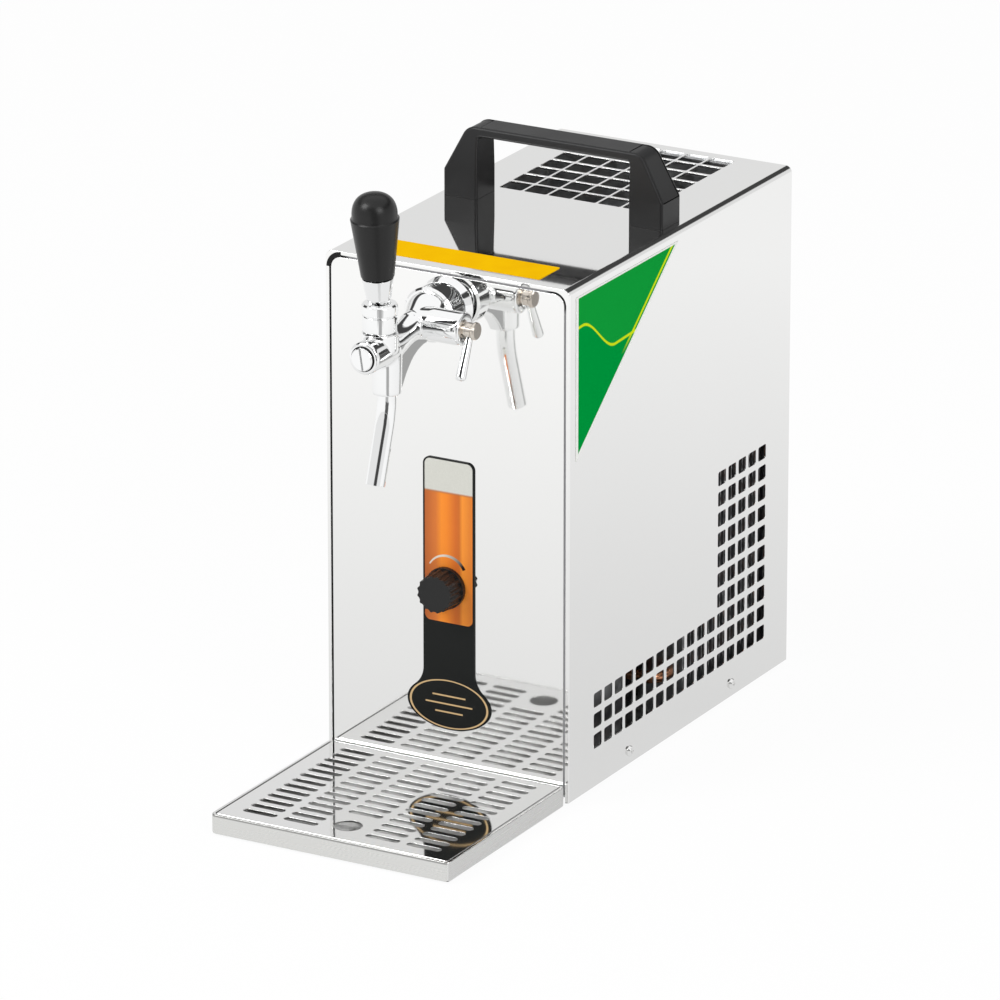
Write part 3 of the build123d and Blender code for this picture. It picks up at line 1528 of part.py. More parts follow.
with BuildPart() as block_stand:
    stand_front = jacket_front_y + stand_inset_y
    stand_length = jacket_back_y - jacket_front_y - 2 * stand_inset_y
    stand_half = jacket_half_width - stand_inset_x
    with BuildSketch(front_plane(stand_front + stand_length)):
        with BuildLine():
            low = base_top + touch
            high = jacket_bottom - touch
            foot_in = stand_half - stand_foot
            Polyline(
                (-foot_in, low), (-stand_half - stand_sheet, low), (-stand_half - stand_sheet, high),
                (stand_half + stand_sheet, high), (stand_half + stand_sheet, low), (foot_in, low),
                (foot_in, low + stand_sheet), (stand_half, low + stand_sheet),
                (stand_half, high - stand_sheet),
                (-stand_half, high - stand_sheet), (-stand_half, low + stand_sheet),
                (-foot_in, low + stand_sheet), close=True,
            )
        make_face()
    extrude(amount=stand_length)

# ------------------------------------------------------------------ refrigeration set
condenser_right = inside_x - condenser_room
condenser_left = condenser_right - condenser_width
fins_left = condenser_left + fin_setback
condenser_tube_x = (fins_left + condenser_right) / 2
fan_left = condenser_left - touch - fan_depth
compressor_radius = (fan_left + inside_x) / 2 - compressor_side_room
compressor_x = (fan_left - inside_x) / 2 + compressor_offset
compressor_mid_y = panel_y + compressor_y
compressor_top = shelf_z - compressor_headroom
compressor_foot_x = compressor_foot_share * compressor_radius
plate_low = base_top + grommet_height
compressor_corners = [
    (compressor_x + sx * compressor_foot_x, compressor_mid_y + sy * compressor_foot_y)
    for sx in (-1, 1) for sy in (-1, 1)
]
discharge_x = compressor_x + discharge_share * compressor_radius
discharge_y = compressor_mid_y - discharge_share * compressor_radius
suction_z = compressor_top - suction_drop

with BuildPart() as compressor_shell:
    with BuildSketch(level(plate_low + compressor_plate)):
        with Locations((compressor_x, compressor_mid_y)):
            Circle(compressor_radius)
    extrude(amount=compressor_top - plate_low - compressor_plate)
    fillet(compressor_shell.faces().sort_by(Axis.Z)[-1].edges(), compressor_dome)
    plate_size = (
        2 * (compressor_foot_x + compressor_plate_rim),
        2 * (compressor_foot_y + compressor_plate_rim),
    )
    with BuildSketch(level(plate_low)):
        with Locations((compressor_x, compressor_mid_y)):
            RectangleRounded(*plate_size, compressor_plate_rim)
        with Locations(*compressor_corners):
            Circle(grommet_neck + touch, mode=Mode.SUBTRACT)
    extrude(amount=compressor_plate)
    # welded waist
    with BuildSketch(level((plate_low + compressor_top) / 2)):
        with Locations((compressor_x, compressor_mid_y)):
            Circle(compressor_radius + compressor_waist)
    extrude(amount=compressor_waist_height)
    # pipe stubs
    with BuildSketch(level(compressor_top - discharge_stub)):
        with Locations((discharge_x, discharge_y)):
            Circle(pipe_radius + stub_wall)
    extrude(amount=discharge_stub)
    with BuildSketch(front_plane(compressor_mid_y - compressor_radius + suction_root)):
        with Locations((compressor_x, suction_z)):
            Circle(pipe_radius + stub_wall)
    extrude(amount=suction_root + suction_stub)

with BuildPart() as compressor_grommets:
    with BuildSketch(level(base_top)):
        with Locations(*compressor_corners):
            Circle(grommet_radius)
    extrude(amount=grommet_height - touch)
    with BuildSketch(level(plate_low - touch)):
        with Locations(*compressor_corners):
            Circle(grommet_neck)
    extrude(amount=compressor_plate + grommet_neck_rise)

condenser_front_y = panel_y + condenser_front
condenser_back_y = condenser_front_y + condenser_length
condenser_low_row = condenser_low + condenser_margin
condenser_high_row = condenser_high - condenser_top_margin
condenser_pitch = (condenser_high_row - condenser_low_row) / (condenser_rows - 1)


def condenser_rows_cut():
    """Tube holes through the plates of the condenser."""
    with Locations((condenser_tube_x, (condenser_low_row + condenser_high_row) / 2)):
        with GridLocations(1, condenser_pitch, 1, condenser_rows):
            Circle(condenser_tube_radius + touch, mode=Mode.SUBTRACT)


with BuildPart() as condenser_fins:
    fin_count = int(condenser_length / fin_pitch) - 1
    for fin in range(fin_count):
        with BuildSketch(front_plane(condenser_front_y + (fin + 1) * fin_pitch)):
            with Locations((condenser_tube_x, (condenser_low + condenser_high) / 2)):
                Rectangle(condenser_right - fins_left, condenser_high - condenser_low)
            condenser_rows_cut()
        extrude(amount=fin_thick)
    # end plates stand on the base plate
    plate_mid_x = (condenser_left + condenser_right) / 2
    plate_foot = base_top + touch
    for plate_y in (condenser_front_y, condenser_back_y + end_plate):
        with BuildSketch(front_plane(plate_y)):
            with Locations((plate_mid_x, (plate_foot + condenser_high) / 2)):
                Rectangle(condenser_width, condenser_high - plate_foot)
            condenser_rows_cut()
        extrude(amount=end_plate)

condenser_inlet_z = condenser_high + condenser_riser
condenser_points = [(condenser_tube_x, riser_y, condenser_inlet_z)]
for row in range(condenser_rows):
    row_z = condenser_high_row - row * condenser_pitch
    front_end = condenser_front_y - condenser_front_bend
    back_end = condenser_back_y + condenser_back_bend
    ends = (riser_y if row == 0 else front_end, back_end)
    if row % 2:
        ends = (back_end, riser_y if row == condenser_rows - 1 else front_end)
    condenser_points += [(condenser_tube_x, ends[0], row_z), (condenser_tube_x, ends[1], row_z)]
drier_x = condenser_tube_x - condenser_outlet
condenser_points += [(drier_x, riser_y, condenser_low_row)]
condenser_bend = condenser_pitch / 2 - touch / 50
condenser_bends = [coil_elbow] + [condenser_bend] * (2 * (condenser_rows - 1)) + [coil_elbow]
condenser_bore = condenser_tube_radius - pipe_wall
condenser_tube = pipe(condenser_points, condenser_bends, condenser_tube_radius, condenser_bore)

fan_mid_y = (condenser_front_y + condenser_back_y) / 2
fan_centre = (fan_mid_y, fan_centre_z)

with BuildPart() as fan_frame:
    with BuildSketch(side_plane(fan_left)):
        with Locations(fan_centre):
            RectangleRounded(fan_size, fan_size, fan_corner)
            Circle(fan_bore, mode=Mode.SUBTRACT)
            with GridLocations(fan_size - 2 * fan_screw_inset, fan_size - 2 * fan_screw_inset, 2, 2):
                Circle(fan_screw_radius, mode=Mode.SUBTRACT)
    extrude(amount=fan_depth)
    with BuildSketch(side_plane(fan_left)):
        with Locations(fan_centre):
            Circle(fan_motor_radius + fan_spoke_thick)
            with PolarLocations(0, 4, start_angle=45):
                with Locations((fan_bore / 2, 0)):
                    Rectangle(fan_bore + fan_spoke_thick, fan_spoke)
    extrude(amount=fan_spoke_thick)
    # feet down to the base plate
    foot_width, foot_depth = fan_foot
    foot_low = base_top + touch
    foot_high = fan_centre_z - fan_size / 2 + fan_spoke
    with BuildSketch(side_plane(fan_left)):
        with Locations((fan_mid_y, (foot_low + foot_high) / 2)):
            with GridLocations(fan_size - 2 * fan_foot_inset, 1, 2, 1):
                Rectangle(foot_width, foot_high - foot_low)
    extrude(amount=foot_depth)

with BuildPart() as fan_motor:
    with BuildSketch(side_plane(fan_left + fan_spoke_thick + touch)):
        with Locations(fan_centre):
            Circle(fan_motor_radius)
            Circle(fan_shaft + running, mode=Mode.SUBTRACT)
    extrude(amount=fan_motor_length - fan_spoke_thick)

with BuildPart() as fan_blade:
    blade_left = fan_left + fan_motor_length + fan_motor_gap
    with BuildSketch(side_plane(blade_left)):
        with Locations(fan_centre):
            Circle(fan_hub)
    extrude(amount=fan_hub_depth)
    with BuildSketch(side_plane(blade_left)):
        with Locations(fan_centre):
            Circle(fan_shaft)
    extrude(amount=-(fan_motor_length - fan_spoke_thick - fan_motor_gap))
    for index in range(fan_blades):
        turn = 360 / fan_blades * index
        outward = (0, cos(radians(turn)), sin(radians(turn)))
        fan_middle = Plane(
            origin=(blade_left + fan_hub_depth / 2, fan_mid_y, fan_centre_z),
            x_dir=(1, 0, 0),
            z_dir=outward,
        )
        with BuildSketch(fan_middle.offset(fan_hub - fan_blade_thick)):
            Rectangle(fan_blade_chord, fan_blade_thick, rotation=90 - fan_blade_pitch)
        extrude(amount=fan_blade_radius - fan_hub + fan_blade_thick)

discharge_top = compressor_top + discharge_rise
discharge_pipe = pipe(
    (
        (discharge_x, discharge_y, compressor_top + touch),
        (discharge_x, discharge_y, discharge_top),
        (condenser_tube_x, discharge_y, discharge_top),
        (condenser_tube_x, riser_y, discharge_top),
        (condenser_tube_x, riser_y, condenser_inlet_z + touch),
    ),
    pipe_elbow,
    pipe_radius,
    pipe_radius - pipe_wall,
)

drier_line_x = drier_x - drier_step
drier_low = condenser_low_row + drier_rise
drier_high = drier_low + drier_length
capillary_z = drier_high + capillary_rise

with BuildPart() as liquid_line:
    add(pipe(
        (
            (drier_x - touch, riser_y, condenser_low_row),
            (drier_line_x, riser_y, condenser_low_row),
            (drier_line_x, riser_y, drier_low + capillary_radius),
        ),
        2 * pipe_radius, pipe_radius,
    ).part)
    # filter drier
    with BuildSketch(level(drier_low)):
        with Locations((drier_line_x, riser_y)):
            Circle(drier_radius)
    extrude(amount=drier_length)
    fillet(liquid_line.edges().filter_by(GeomType.CIRCLE).group_by(Axis.Z)[-1], drier_shoulder)
    add(pipe(
        (
            (drier_line_x, riser_y, drier_high - capillary_radius),
            (drier_line_x, riser_y, capillary_z),
            (drier_line_x, capillary_line_y, capillary_z),
            (side_port_x, capillary_line_y, capillary_z),
            (side_port_x, capillary_line_y, first_row_z),
            (side_port_x, capillary_line_y - capillary_tail + touch, first_row_z),
        ),
        capillary_bend, capillary_radius,
    ).part)

suction_pipe = pipe(
    (
        (side_port_x, cooling_out_y + touch, cooling_last_z),
        (side_port_x, suction_line_y, cooling_last_z),
        (compressor_x, suction_line_y, cooling_last_z),
        (compressor_x, suction_line_y, suction_z),
        (compressor_x, compressor_mid_y - compressor_radius - suction_stub - touch, suction_z),
    ),
    pipe_elbow,
    pipe_radius,
    pipe_radius - pipe_wall,
)

# ------------------------------------------------------------------ beer and air connections
back_plane = Plane(origin=(0, rear_y, 0), x_dir=(-1, 0, 0), z_dir=(0, 1, 0))
port_tail_y = rear_y - port_inside - touch


def fitting(x, z):
    """Push-fit bulkhead fitting: body through the rear panel, outer collar and inner nut."""
    with BuildPart() as body:
        with BuildSketch(back_plane.offset(-port_inside)):
            with Locations((-x, z)):
                Circle(port_body_radius)
        extrude(amount=port_inside + rear_fitting_reach - port_step)
        with BuildSketch(back_plane.offset(touch)):
            with Locations((-x, z)):
                Circle(port_nut_radius)
        extrude(amount=rear_fitting_reach - 2 * port_step)
        with BuildSketch(back_plane.offset(-panel_sheet - touch)):
            with Locations((-x, z)):
                RegularPolygon(port_nut_radius, 6)
        extrude(amount=-port_nut_thick)
        with BuildSketch(back_plane.offset(rear_fitting_reach)):
            with Locations((-x, z)):
                Circle(collet_radius + play)
        extrude(amount=-rear_fitting_reach + sheet, mode=Mode.SUBTRACT)
        with BuildSketch(back_plane.offset(-port_inside)):
            with Locations((-x, z)):
                Circle(port_bore - port_wall)
        extrude(amount=port_inside + rear_fitting_reach, mode=Mode.SUBTRACT)
    return body.part


def collet(x, z):
    """Sleeve that grips the pushed-in tube."""
    with BuildPart() as sleeve:
        with BuildSketch(back_plane.offset(rear_fitting_reach - collet_length)):
            with Locations((-x, z)):
                Circle(collet_radius)
        extrude(amount=collet_length)
        with BuildSketch(back_plane.offset(rear_fitting_reach - collet_flange_thick)):
            with Locations((-x, z)):
                Circle(collet_flange)
        extrude(amount=collet_flange_thick)
        with BuildSketch(back_plane.offset(rear_fitting_reach - collet_length)):
            with Locations((-x, z)):
                Circle(port_bore)
        extrude(amount=collet_length, mode=Mode.SUBTRACT)
    return sleeve.part


with BuildPart() as beer_inlet_fitting:
    add(fitting(-side_port_x, beer_port_z))

with BuildPart() as beer_inlet_collet:
    add(collet(-side_port_x, beer_port_z))

with BuildPart() as air_outlet_fitting:
    add(fitting(air_port_x, air_port_z))

with BuildPart() as air_outlet_collet:
    add(collet(air_port_x, air_port_z))

beer_supply_line = pipe(
    (
        (-side_port_x, port_tail_y, beer_port_z),
        (-side_port_x, riser_y, beer_port_z),
        (-side_port_x, riser_y, first_row_z),
        (-side_port_x, beer_coil_y + coil_tail + touch, first_row_z),
    ),
    supply_bend, coil_radius, coil_radius - coil_wall,
)

beer_outlet_line = pipe(
    (
        (0, beer_coil_y, jacket_top + outlet_tail + touch),
        (0, beer_coil_y, tap_z),
        (0, panel_y + shank_tail + touch, tap_z),
    ),
    outlet_bend, coil_radius, coil_radius - coil_wall,
)

pump_mid_y = panel_y + pump_y
pump_low = shelf_z + panel_sheet + touch
pump_high = pump_low + pump_height
pump_base = pump_base_share * pump_height

with BuildPart() as air_pump:
    with BuildSketch(level(pump_low)):
        with Locations((pump_x, pump_mid_y)):
            RectangleRounded(pump_width, pump_length, pump_corner)
    extrude(amount=pump_base)
    with BuildSketch(level(pump_low + pump_base)):
        with Locations((pump_x, pump_mid_y)):
            with GridLocations(1, pump_length / 2, 1, 2):
                Circle(pump_head_share * pump_width)
    extrude(amount=pump_height - pump_base)
    with BuildSketch(level(pump_high)):
        with Locations((pump_x, pump_mid_y)):
            with GridLocations(1, pump_length / 2, 1, 2):
                Circle(hose_radius)
    extrude(amount=pump_spout)

hose_y = pump_mid_y + pump_length / 4
air_hose = pipe(
    (
        (pump_x, hose_y, pump_high + pump_spout + touch),
        (pump_x, hose_y, air_port_z),
        (air_port_x, port_tail_y, air_port_z),
    ),
    hose_bend, hose_radius, hose_radius - pipe_wall,
)

# ------------------------------------------------------------------ power inlet and switches
with BuildPart() as power_inlet:
    inlet_spot = (-inlet_x, inlet_z)
    inlet_body = (inlet_width - 2 * (inlet_rim + touch), inlet_height - 2 * (inlet_rim + touch))
    with BuildSketch(back_plane.offset(touch)):
        with Locations(inlet_spot):
            RectangleRounded(inlet_width + 2 * inlet_ear, inlet_height, inlet_corner)
    extrude(amount=inlet_lip)
    with BuildSketch(back_plane.offset(touch)):
        with Locations(inlet_spot):
            Rectangle(*inlet_body)
    extrude(amount=-inlet_depth)
    with BuildSketch(back_plane.offset(inlet_lip + sheet)):
        with Locations(inlet_spot):
            Rectangle(inlet_body[0] - 2 * inlet_wall, inlet_body[1] - 2 * inlet_wall)
    extrude(amount=inlet_floor - inlet_depth - inlet_lip - sheet, mode=Mode.SUBTRACT)
    pin_width, pin_height, pin_reach = inlet_pin
    with BuildSketch(back_plane.offset(inlet_floor - inlet_depth - sheet)):
        with Locations(inlet_spot):
            with GridLocations(inlet_pin_pitch, 1, 3, 1):
                Rectangle(pin_width, pin_height)
    extrude(amount=pin_reach)

with BuildPart() as switch_housings:
    switch_body = (switch_width - 2 * (switch_rim + touch), switch_height - 2 * (switch_rim + touch))
    switch_hollow = (switch_body[0] - 2 * switch_wall, switch_body[1] - 2 * switch_wall)
    switch_spots = [(-switch_x, switch_z) for switch_x in (cooling_switch_x, air_switch_x)]
    with BuildSketch(back_plane.offset(touch)):
        with Locations(*switch_spots):
            RectangleRounded(switch_width, switch_height, switch_lip)
    extrude(amount=switch_lip)
    with BuildSketch(back_plane.offset(touch)):
        with Locations(*switch_spots):
            Rectangle(*switch_body)
    extrude(amount=-switch_depth)
    with BuildSketch(back_plane.offset(2 * switch_lip)):
        with Locations(*switch_spots):
            Rectangle(*switch_hollow)
    extrude(amount=-switch_well, mode=Mode.SUBTRACT)


def rocker(x):
    """Rocker that turns about a level axis in its housing, resting in the off position."""
    half_length = switch_hollow[1] / 2 - rocker_end_gap
    foot_half = half_length - rocker_end_slope
    tilt = radians(rocker_tilt)
    turned = Plane(origin=(x, rear_y, switch_z), x_dir=(0, -sin(tilt), -cos(tilt)), z_dir=(1, 0, 0))
    with BuildPart() as body:
        with BuildSketch(turned):
            with BuildLine():
                Polyline(
                    (-half_length, rocker_end_rise),
                    (0, rocker_mid_rise),
                    (half_length, rocker_end_rise),
                    (foot_half, -rocker_end_drop),
                    (0, -rocker_keel),
                    (-foot_half, -rocker_end_drop),
                    close=True,
                )
            make_face()
        extrude(amount=switch_hollow[0] / 2 - play, both=True)
    return body.part


with BuildPart() as cooling_rocker:
    add(rocker(cooling_switch_x))

with BuildPart() as air_rocker:
    add(rocker(air_switch_x))

# ------------------------------------------------------------------ export
pieces = {
    "base_plate": base_plate,
    "base_feet": base_feet,
    "casing_cover": casing_cover,
    "casing_screws": casing_screws,
    "front_panel": front_panel,
    "front_seal": front_seal,
    "rear_panel": rear_panel,
    "handle_body": handle_body,
    "handle_caps": handle_caps,
    "handle_screws": handle_screws,
    "badge_plate": badge_plate,
    "side_label": side_label,
    "top_label": top_label,
    "thermostat_body": thermostat_body,
    "thermostat_shaft": thermostat_shaft,
    "thermostat_knob": thermostat_knob,
    "tap_shank": tap_shank,
    "shank_flange": shank_flange,
    "shank_nut": shank_nut,
    "tap_coupling_nut": tap_coupling_nut,
    "tap_body": tap_body,
    "spout_tube": spout_tube,
    "valve_cap": valve_cap,
    "lever_bonnet": lever_bonnet,
    "lever_stem": lever_stem,
    "tap_knob": tap_knob,
    "valve_plunger": valve_plunger,
    "plunger_seals": plunger_seals,
    "compensator_cone": compensator_cone,
    "compensator_spindle": compensator_spindle,
    "compensator_arm": compensator_arm,
    "drip_tray": drip_tray,
    "drip_grate": drip_grate,
    "cooling_block": cooling_block,
    "beer_coil": beer_coil,
    "evaporator_coil": evaporator_coil,
    "insulation_jacket": insulation_jacket,
    "block_stand": block_stand,
    "compressor_shell": compressor_shell,
    "compressor_grommets": compressor_grommets,
    "condenser_fins": condenser_fins,
    "condenser_tube": condenser_tube,
    "fan_frame": fan_frame,
    "fan_motor": fan_motor,
    "fan_blade": fan_blade,
    "discharge_pipe": discharge_pipe,
    "liquid_line": liquid_line,
    "suction_pipe": suction_pipe,
    "beer_inlet_fitting": beer_inlet_fitting,
    "beer_inlet_collet": beer_inlet_collet,
    "air_outlet_fitting": air_outlet_fitting,
    "air_outlet_collet": air_outlet_collet,
    "beer_supply_line": beer_supply_line,
    "beer_outlet_line": beer_outlet_line,
    "air_pump": air_pump,
    "air_hose": air_hose,
    "power_inlet": power_inlet,
    "switch_housings": switch_housings,
    "cooling_rocker": cooling_rocker,
    "air_rocker": air_rocker,
}
for name, piece in pieces.items():
    piece.part.label = name
    export_step(piece.part, f"parts/{name}.step")
print(len(pieces), "pieces written")
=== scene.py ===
"""Finishes, printed badge and labels, tap casting and small trim of a desktop beer cooler."""

import json
from math import cos, pi, radians, sin

import bmesh
import bpy
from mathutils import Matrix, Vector


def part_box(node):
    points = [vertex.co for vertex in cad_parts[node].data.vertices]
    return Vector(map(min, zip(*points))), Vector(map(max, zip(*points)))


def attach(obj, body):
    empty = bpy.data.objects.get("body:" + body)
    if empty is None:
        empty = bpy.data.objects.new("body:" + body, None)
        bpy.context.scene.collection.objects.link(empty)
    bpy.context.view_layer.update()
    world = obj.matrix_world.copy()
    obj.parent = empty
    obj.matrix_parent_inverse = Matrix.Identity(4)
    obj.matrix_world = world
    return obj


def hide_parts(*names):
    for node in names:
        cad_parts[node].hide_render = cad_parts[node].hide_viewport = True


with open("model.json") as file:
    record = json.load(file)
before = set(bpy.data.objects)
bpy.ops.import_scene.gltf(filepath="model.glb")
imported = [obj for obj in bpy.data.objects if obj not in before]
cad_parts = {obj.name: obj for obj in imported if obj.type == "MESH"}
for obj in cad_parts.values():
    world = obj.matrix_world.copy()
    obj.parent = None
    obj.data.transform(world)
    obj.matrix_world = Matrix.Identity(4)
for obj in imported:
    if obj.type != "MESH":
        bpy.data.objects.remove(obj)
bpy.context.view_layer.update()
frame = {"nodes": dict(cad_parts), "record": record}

MM = 0.001
SMOOTH_ANGLE = radians(30)                # edges flatter than this are shaded round
WELD = 1e-6                               # corners closer than this are one
WINDOW_HALF = 17.3 * MM                   # half the width of the badge's window


# ------------------------------------------------------------------ shader expressions
class Signal:
    """One value or colour in a finish's node tree. Arithmetic on values adds Math nodes."""

    def __init__(self, finish, output):
        self.finish = finish
        self.output = output

    def maths(self, operation, *others, clamp=False):
        values = {place: value for place, value in enumerate((self, *others))}
        return self.finish.node("ShaderNodeMath", {"operation": operation, "use_clamp": clamp}, values)

    def __add__(self, other):
        return self.maths("ADD", other)

    __radd__ = __add__

    def __sub__(self, other):
        return self.maths("SUBTRACT", other)

    def __rsub__(self, other):
        return (self * -1).maths("ADD", other)

    def __mul__(self, other):
        return self.maths("MULTIPLY", other)

    __rmul__ = __mul__

    def __truediv__(self, other):
        return self.maths("DIVIDE", other)

    def __pow__(self, other):
        return self.maths("POWER", other)

    def __abs__(self):
        return self.maths("ABSOLUTE")

    def clamped(self):
        return self.maths("ADD", 0, clamp=True)

    def above(self, edge, soft):
        """0 below edge, 1 above it, over a soft width."""
        return ((self - edge) / soft + 0.5).clamped()

    def below(self, edge, soft):
        return 1 - self.above(edge, soft)

    def between(self, low, high, soft):
        return self.above(low, soft) * self.below(high, soft)


def fill_ramp(ramp, stops):
    while len(ramp.elements) < len(stops):
        ramp.elements.new(1)
    for element, (place, colour) in zip(ramp.elements, stops):
        element.position = place
        element.color = (*colour, 1)


class Finish:
    """A material and the few ways that this script adds nodes to it."""

    def __init__(self, name):
        self.material = bpy.data.materials.new(name)
        self.material.use_nodes = True
        self.tree = self.material.node_tree
        self.tree.nodes.clear()
        self.shader = self.tree.nodes.new("ShaderNodeBsdfPrincipled")
        self.end = self.tree.nodes.new("ShaderNodeOutputMaterial")
        self.tree.links.new(self.shader.outputs[0], self.end.inputs[0])

    def node(self, kind, settings=None, sockets=None, output=0):
        made = self.tree.nodes.new(kind)
        for name, value in (settings or {}).items():
            if name == "stops":
                fill_ramp(made.color_ramp, value)
            else:
                setattr(made, name, value)
        for place, value in (sockets or {}).items():
            if isinstance(value, Signal):
                self.tree.links.new(value.output, made.inputs[place])
            else:
                made.inputs[place].default_value = value
        return Signal(self, made.outputs[output])

    def set(self, **sockets):
        for name, value in sockets.items():
            socket = self.shader.inputs[name.replace("_", " ")]
            if isinstance(value, Signal):
                self.tree.links.new(value.output, socket)
            elif socket.type == "RGBA":
                socket.default_value = (*value, 1)
            else:
                socket.default_value = value
        return self

    def point(self):
        return self.node("ShaderNodeTexCoord", output="Object")

    def axes(self, letters="XYZ"):
        """The wanted coordinates, in metres in the part's own frame."""
        point = self.point()
        return [self.node("ShaderNodeSeparateXYZ", {}, {0: point}, output=letter) for letter in letters]

    def noise(self, scale, detail=2.0, stretch=(1, 1, 1)):
        place = self.node("ShaderNodeMapping", {}, {"Vector": self.point(), "Scale": stretch})
        sockets = {"Vector": place, "Scale": scale, "Detail": detail}
        return self.node("ShaderNodeTexNoise", {}, sockets)

    def mix(self, mask, first, second):
        """first where the mask is 0, second where it is 1. Either may be a colour or a signal."""
        made = self.tree.nodes.new("ShaderNodeMix")
        made.data_type = "RGBA"
        self.tree.links.new(mask.output, made.inputs["Factor"])
        for place, value in ((6, first), (7, second)):
            if isinstance(value, Signal):
                self.tree.links.new(value.output, made.inputs[place])
            else:
                made.inputs[place].default_value = (*value, 1)
        return Signal(self, made.outputs[2])

    def bump(self, height, strength, distance, edge=0.0):
        """Relief of a height. An edge radius also softens the light on the corners."""
        sockets = {"Height": height, "Strength": strength, "Distance": distance}
        if edge:
            sockets["Normal"] = self.node("ShaderNodeBevel", {"samples": 4}, {"Radius": edge})
        return self.node("ShaderNodeBump", {}, sockets)

    def spots(self, scale, output):
        """Cells of one size, by their colour or by the distance from their middles."""
        sockets = {"Vector": self.point(), "Scale": scale}
        return self.node("ShaderNodeTexVoronoi", {"feature": "F1"}, sockets, output=output)


# ------------------------------------------------------------------ finishes
def scaled(tint, share):
    return [channel * share for channel in tint]


def polished_sheet(name, tint, dull):
    """Bright rolled sheet: near mirror, faint rolling lines, a slow waviness. The front panel is painted
    paler, a painted highlight for the brighter light on it.
    """
    finish = Finish(name)
    panel_back, panel_lit_tint = -82 * MM, (0.945, 0.945, 0.935)
    lines = finish.noise(60, 3, (1, 1, 30))
    cloud = finish.noise(7, 1)
    y = finish.axes("Y")[0]
    colour = finish.mix(cloud, tint, scaled(tint, 0.985))
    return finish.set(
        # painted highlight: the front panel takes a paler tint than the rest of the sheet
        Base_Color=finish.mix(y.below(panel_back, 0.4 * MM), colour, panel_lit_tint),
        Metallic=1.0,
        Roughness=dull * (0.7 + 0.6 * lines),
        Normal=finish.bump(cloud, 0.05, 0.1 * MM, edge=0.5 * MM),
    )


def tray_sheet(name):
    """Tray and grate: bright on top and satin round the outside. Painted shade darkens the outer sides, the
    front lip and the back strip by the panel, and dark painted shade fills the dull inside of the tray
    under the grate.
    """
    finish = Finish(name)
    low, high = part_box("drip_tray")
    grate_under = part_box("drip_grate")[0].z
    skin_depth, soft = 0.8 * MM, 0.2 * MM
    lip_height, back_depth = 1.4 * MM, 4.5 * MM
    x, y, z = finish.axes()
    outside = (abs(x) - (high.x - skin_depth)).above(0, soft)
    front = (low.y + skin_depth - y).above(0, soft)
    rim = outside.maths("MAXIMUM", front)
    # painted shade: the inside of the tray under the grate is near black, dull and not metallic
    shaded_inside = z.below(grate_under - 0.1 * MM, 0.5 * MM) * (1 - rim)
    lines = finish.noise(500, 3, (0.05, 0.05, 2))
    tint = finish.mix(rim, (0.86, 0.86, 0.855), (0.84, 0.84, 0.82))
    # painted shade: the outer sides are darker
    tint = finish.mix(outside, tint, (0.72, 0.72, 0.71))
    # painted shade along the top of the front lip and on the back strip in the gap by the panel
    lip = front * z.above(high.z - lip_height, 0.6 * MM)
    back = y.above(high.y - back_depth, 1 * MM) * (1 - outside)
    tint = finish.mix(lip.maths("MAXIMUM", back), tint, (0.40, 0.40, 0.39))
    tint = finish.mix(shaded_inside, tint, (0.012, 0.012, 0.012))
    return finish.set(
        Base_Color=tint,
        Metallic=1 - shaded_inside,
        Roughness=0.05 + rim * (0.18 + 0.1 * lines) + shaded_inside * 0.8,
        Normal=finish.bump(lines, 0.02 * rim, 0.05 * MM, edge=0.3 * MM),
    )


def ground_sheet(name, tint, dull, stretch=(1, 1, 1), edge=0.4 * MM):
    """Finely ground metal. A stretch makes lines along one axis."""
    finish = Finish(name)
    lines = finish.noise(900, 3, stretch)
    cloud = finish.noise(25, 2)
    return finish.set(
        Base_Color=finish.mix(lines, scaled(tint, 0.94), tint),
        Metallic=1.0,
        Roughness=dull * (0.75 + 0.3 * lines + 0.2 * cloud),
        Normal=finish.bump(lines, 0.08, 0.05 * MM, edge),
    )


def plated(name, tint, dull):
    """Chrome plating over a cast or turned part."""
    finish = Finish(name)
    cloud = finish.noise(120, 3)
    return finish.set(
        Base_Color=tint,
        Metallic=1.0,
        Roughness=dull * (0.6 + 0.8 * cloud),
        Normal=finish.bump(cloud, 0.04, 0.1 * MM, edge=0.35 * MM),
    )


def moulded(name, tint, dull, grain=2600, depth=0.25, sheen=0.5, painted_shade_low=False):
    """Moulded plastic with an eroded grain. It may take painted shade, darker lower down and paler towards
    the top.
    """
    finish = Finish(name)
    pale_from, pale_over = 385 * MM, 45 * MM
    speck = finish.noise(grain, 2)
    cloud = finish.noise(40, 2)
    colour = finish.mix(cloud, scaled(tint, 0.88), scaled(tint, 1.12))
    # painted shade: darker lower down, full tint towards the top
    if painted_shade_low:
        z = finish.axes("Z")[0]
        colour = finish.mix(z.above(pale_from, pale_over), scaled(tint, 0.35), colour)
    return finish.set(
        Base_Color=colour,
        Roughness=dull * (0.85 + 0.3 * cloud),
        Specular_IOR_Level=sheen,
        Normal=finish.bump(speck, depth, 0.05 * MM, edge=0.3 * MM),
    )


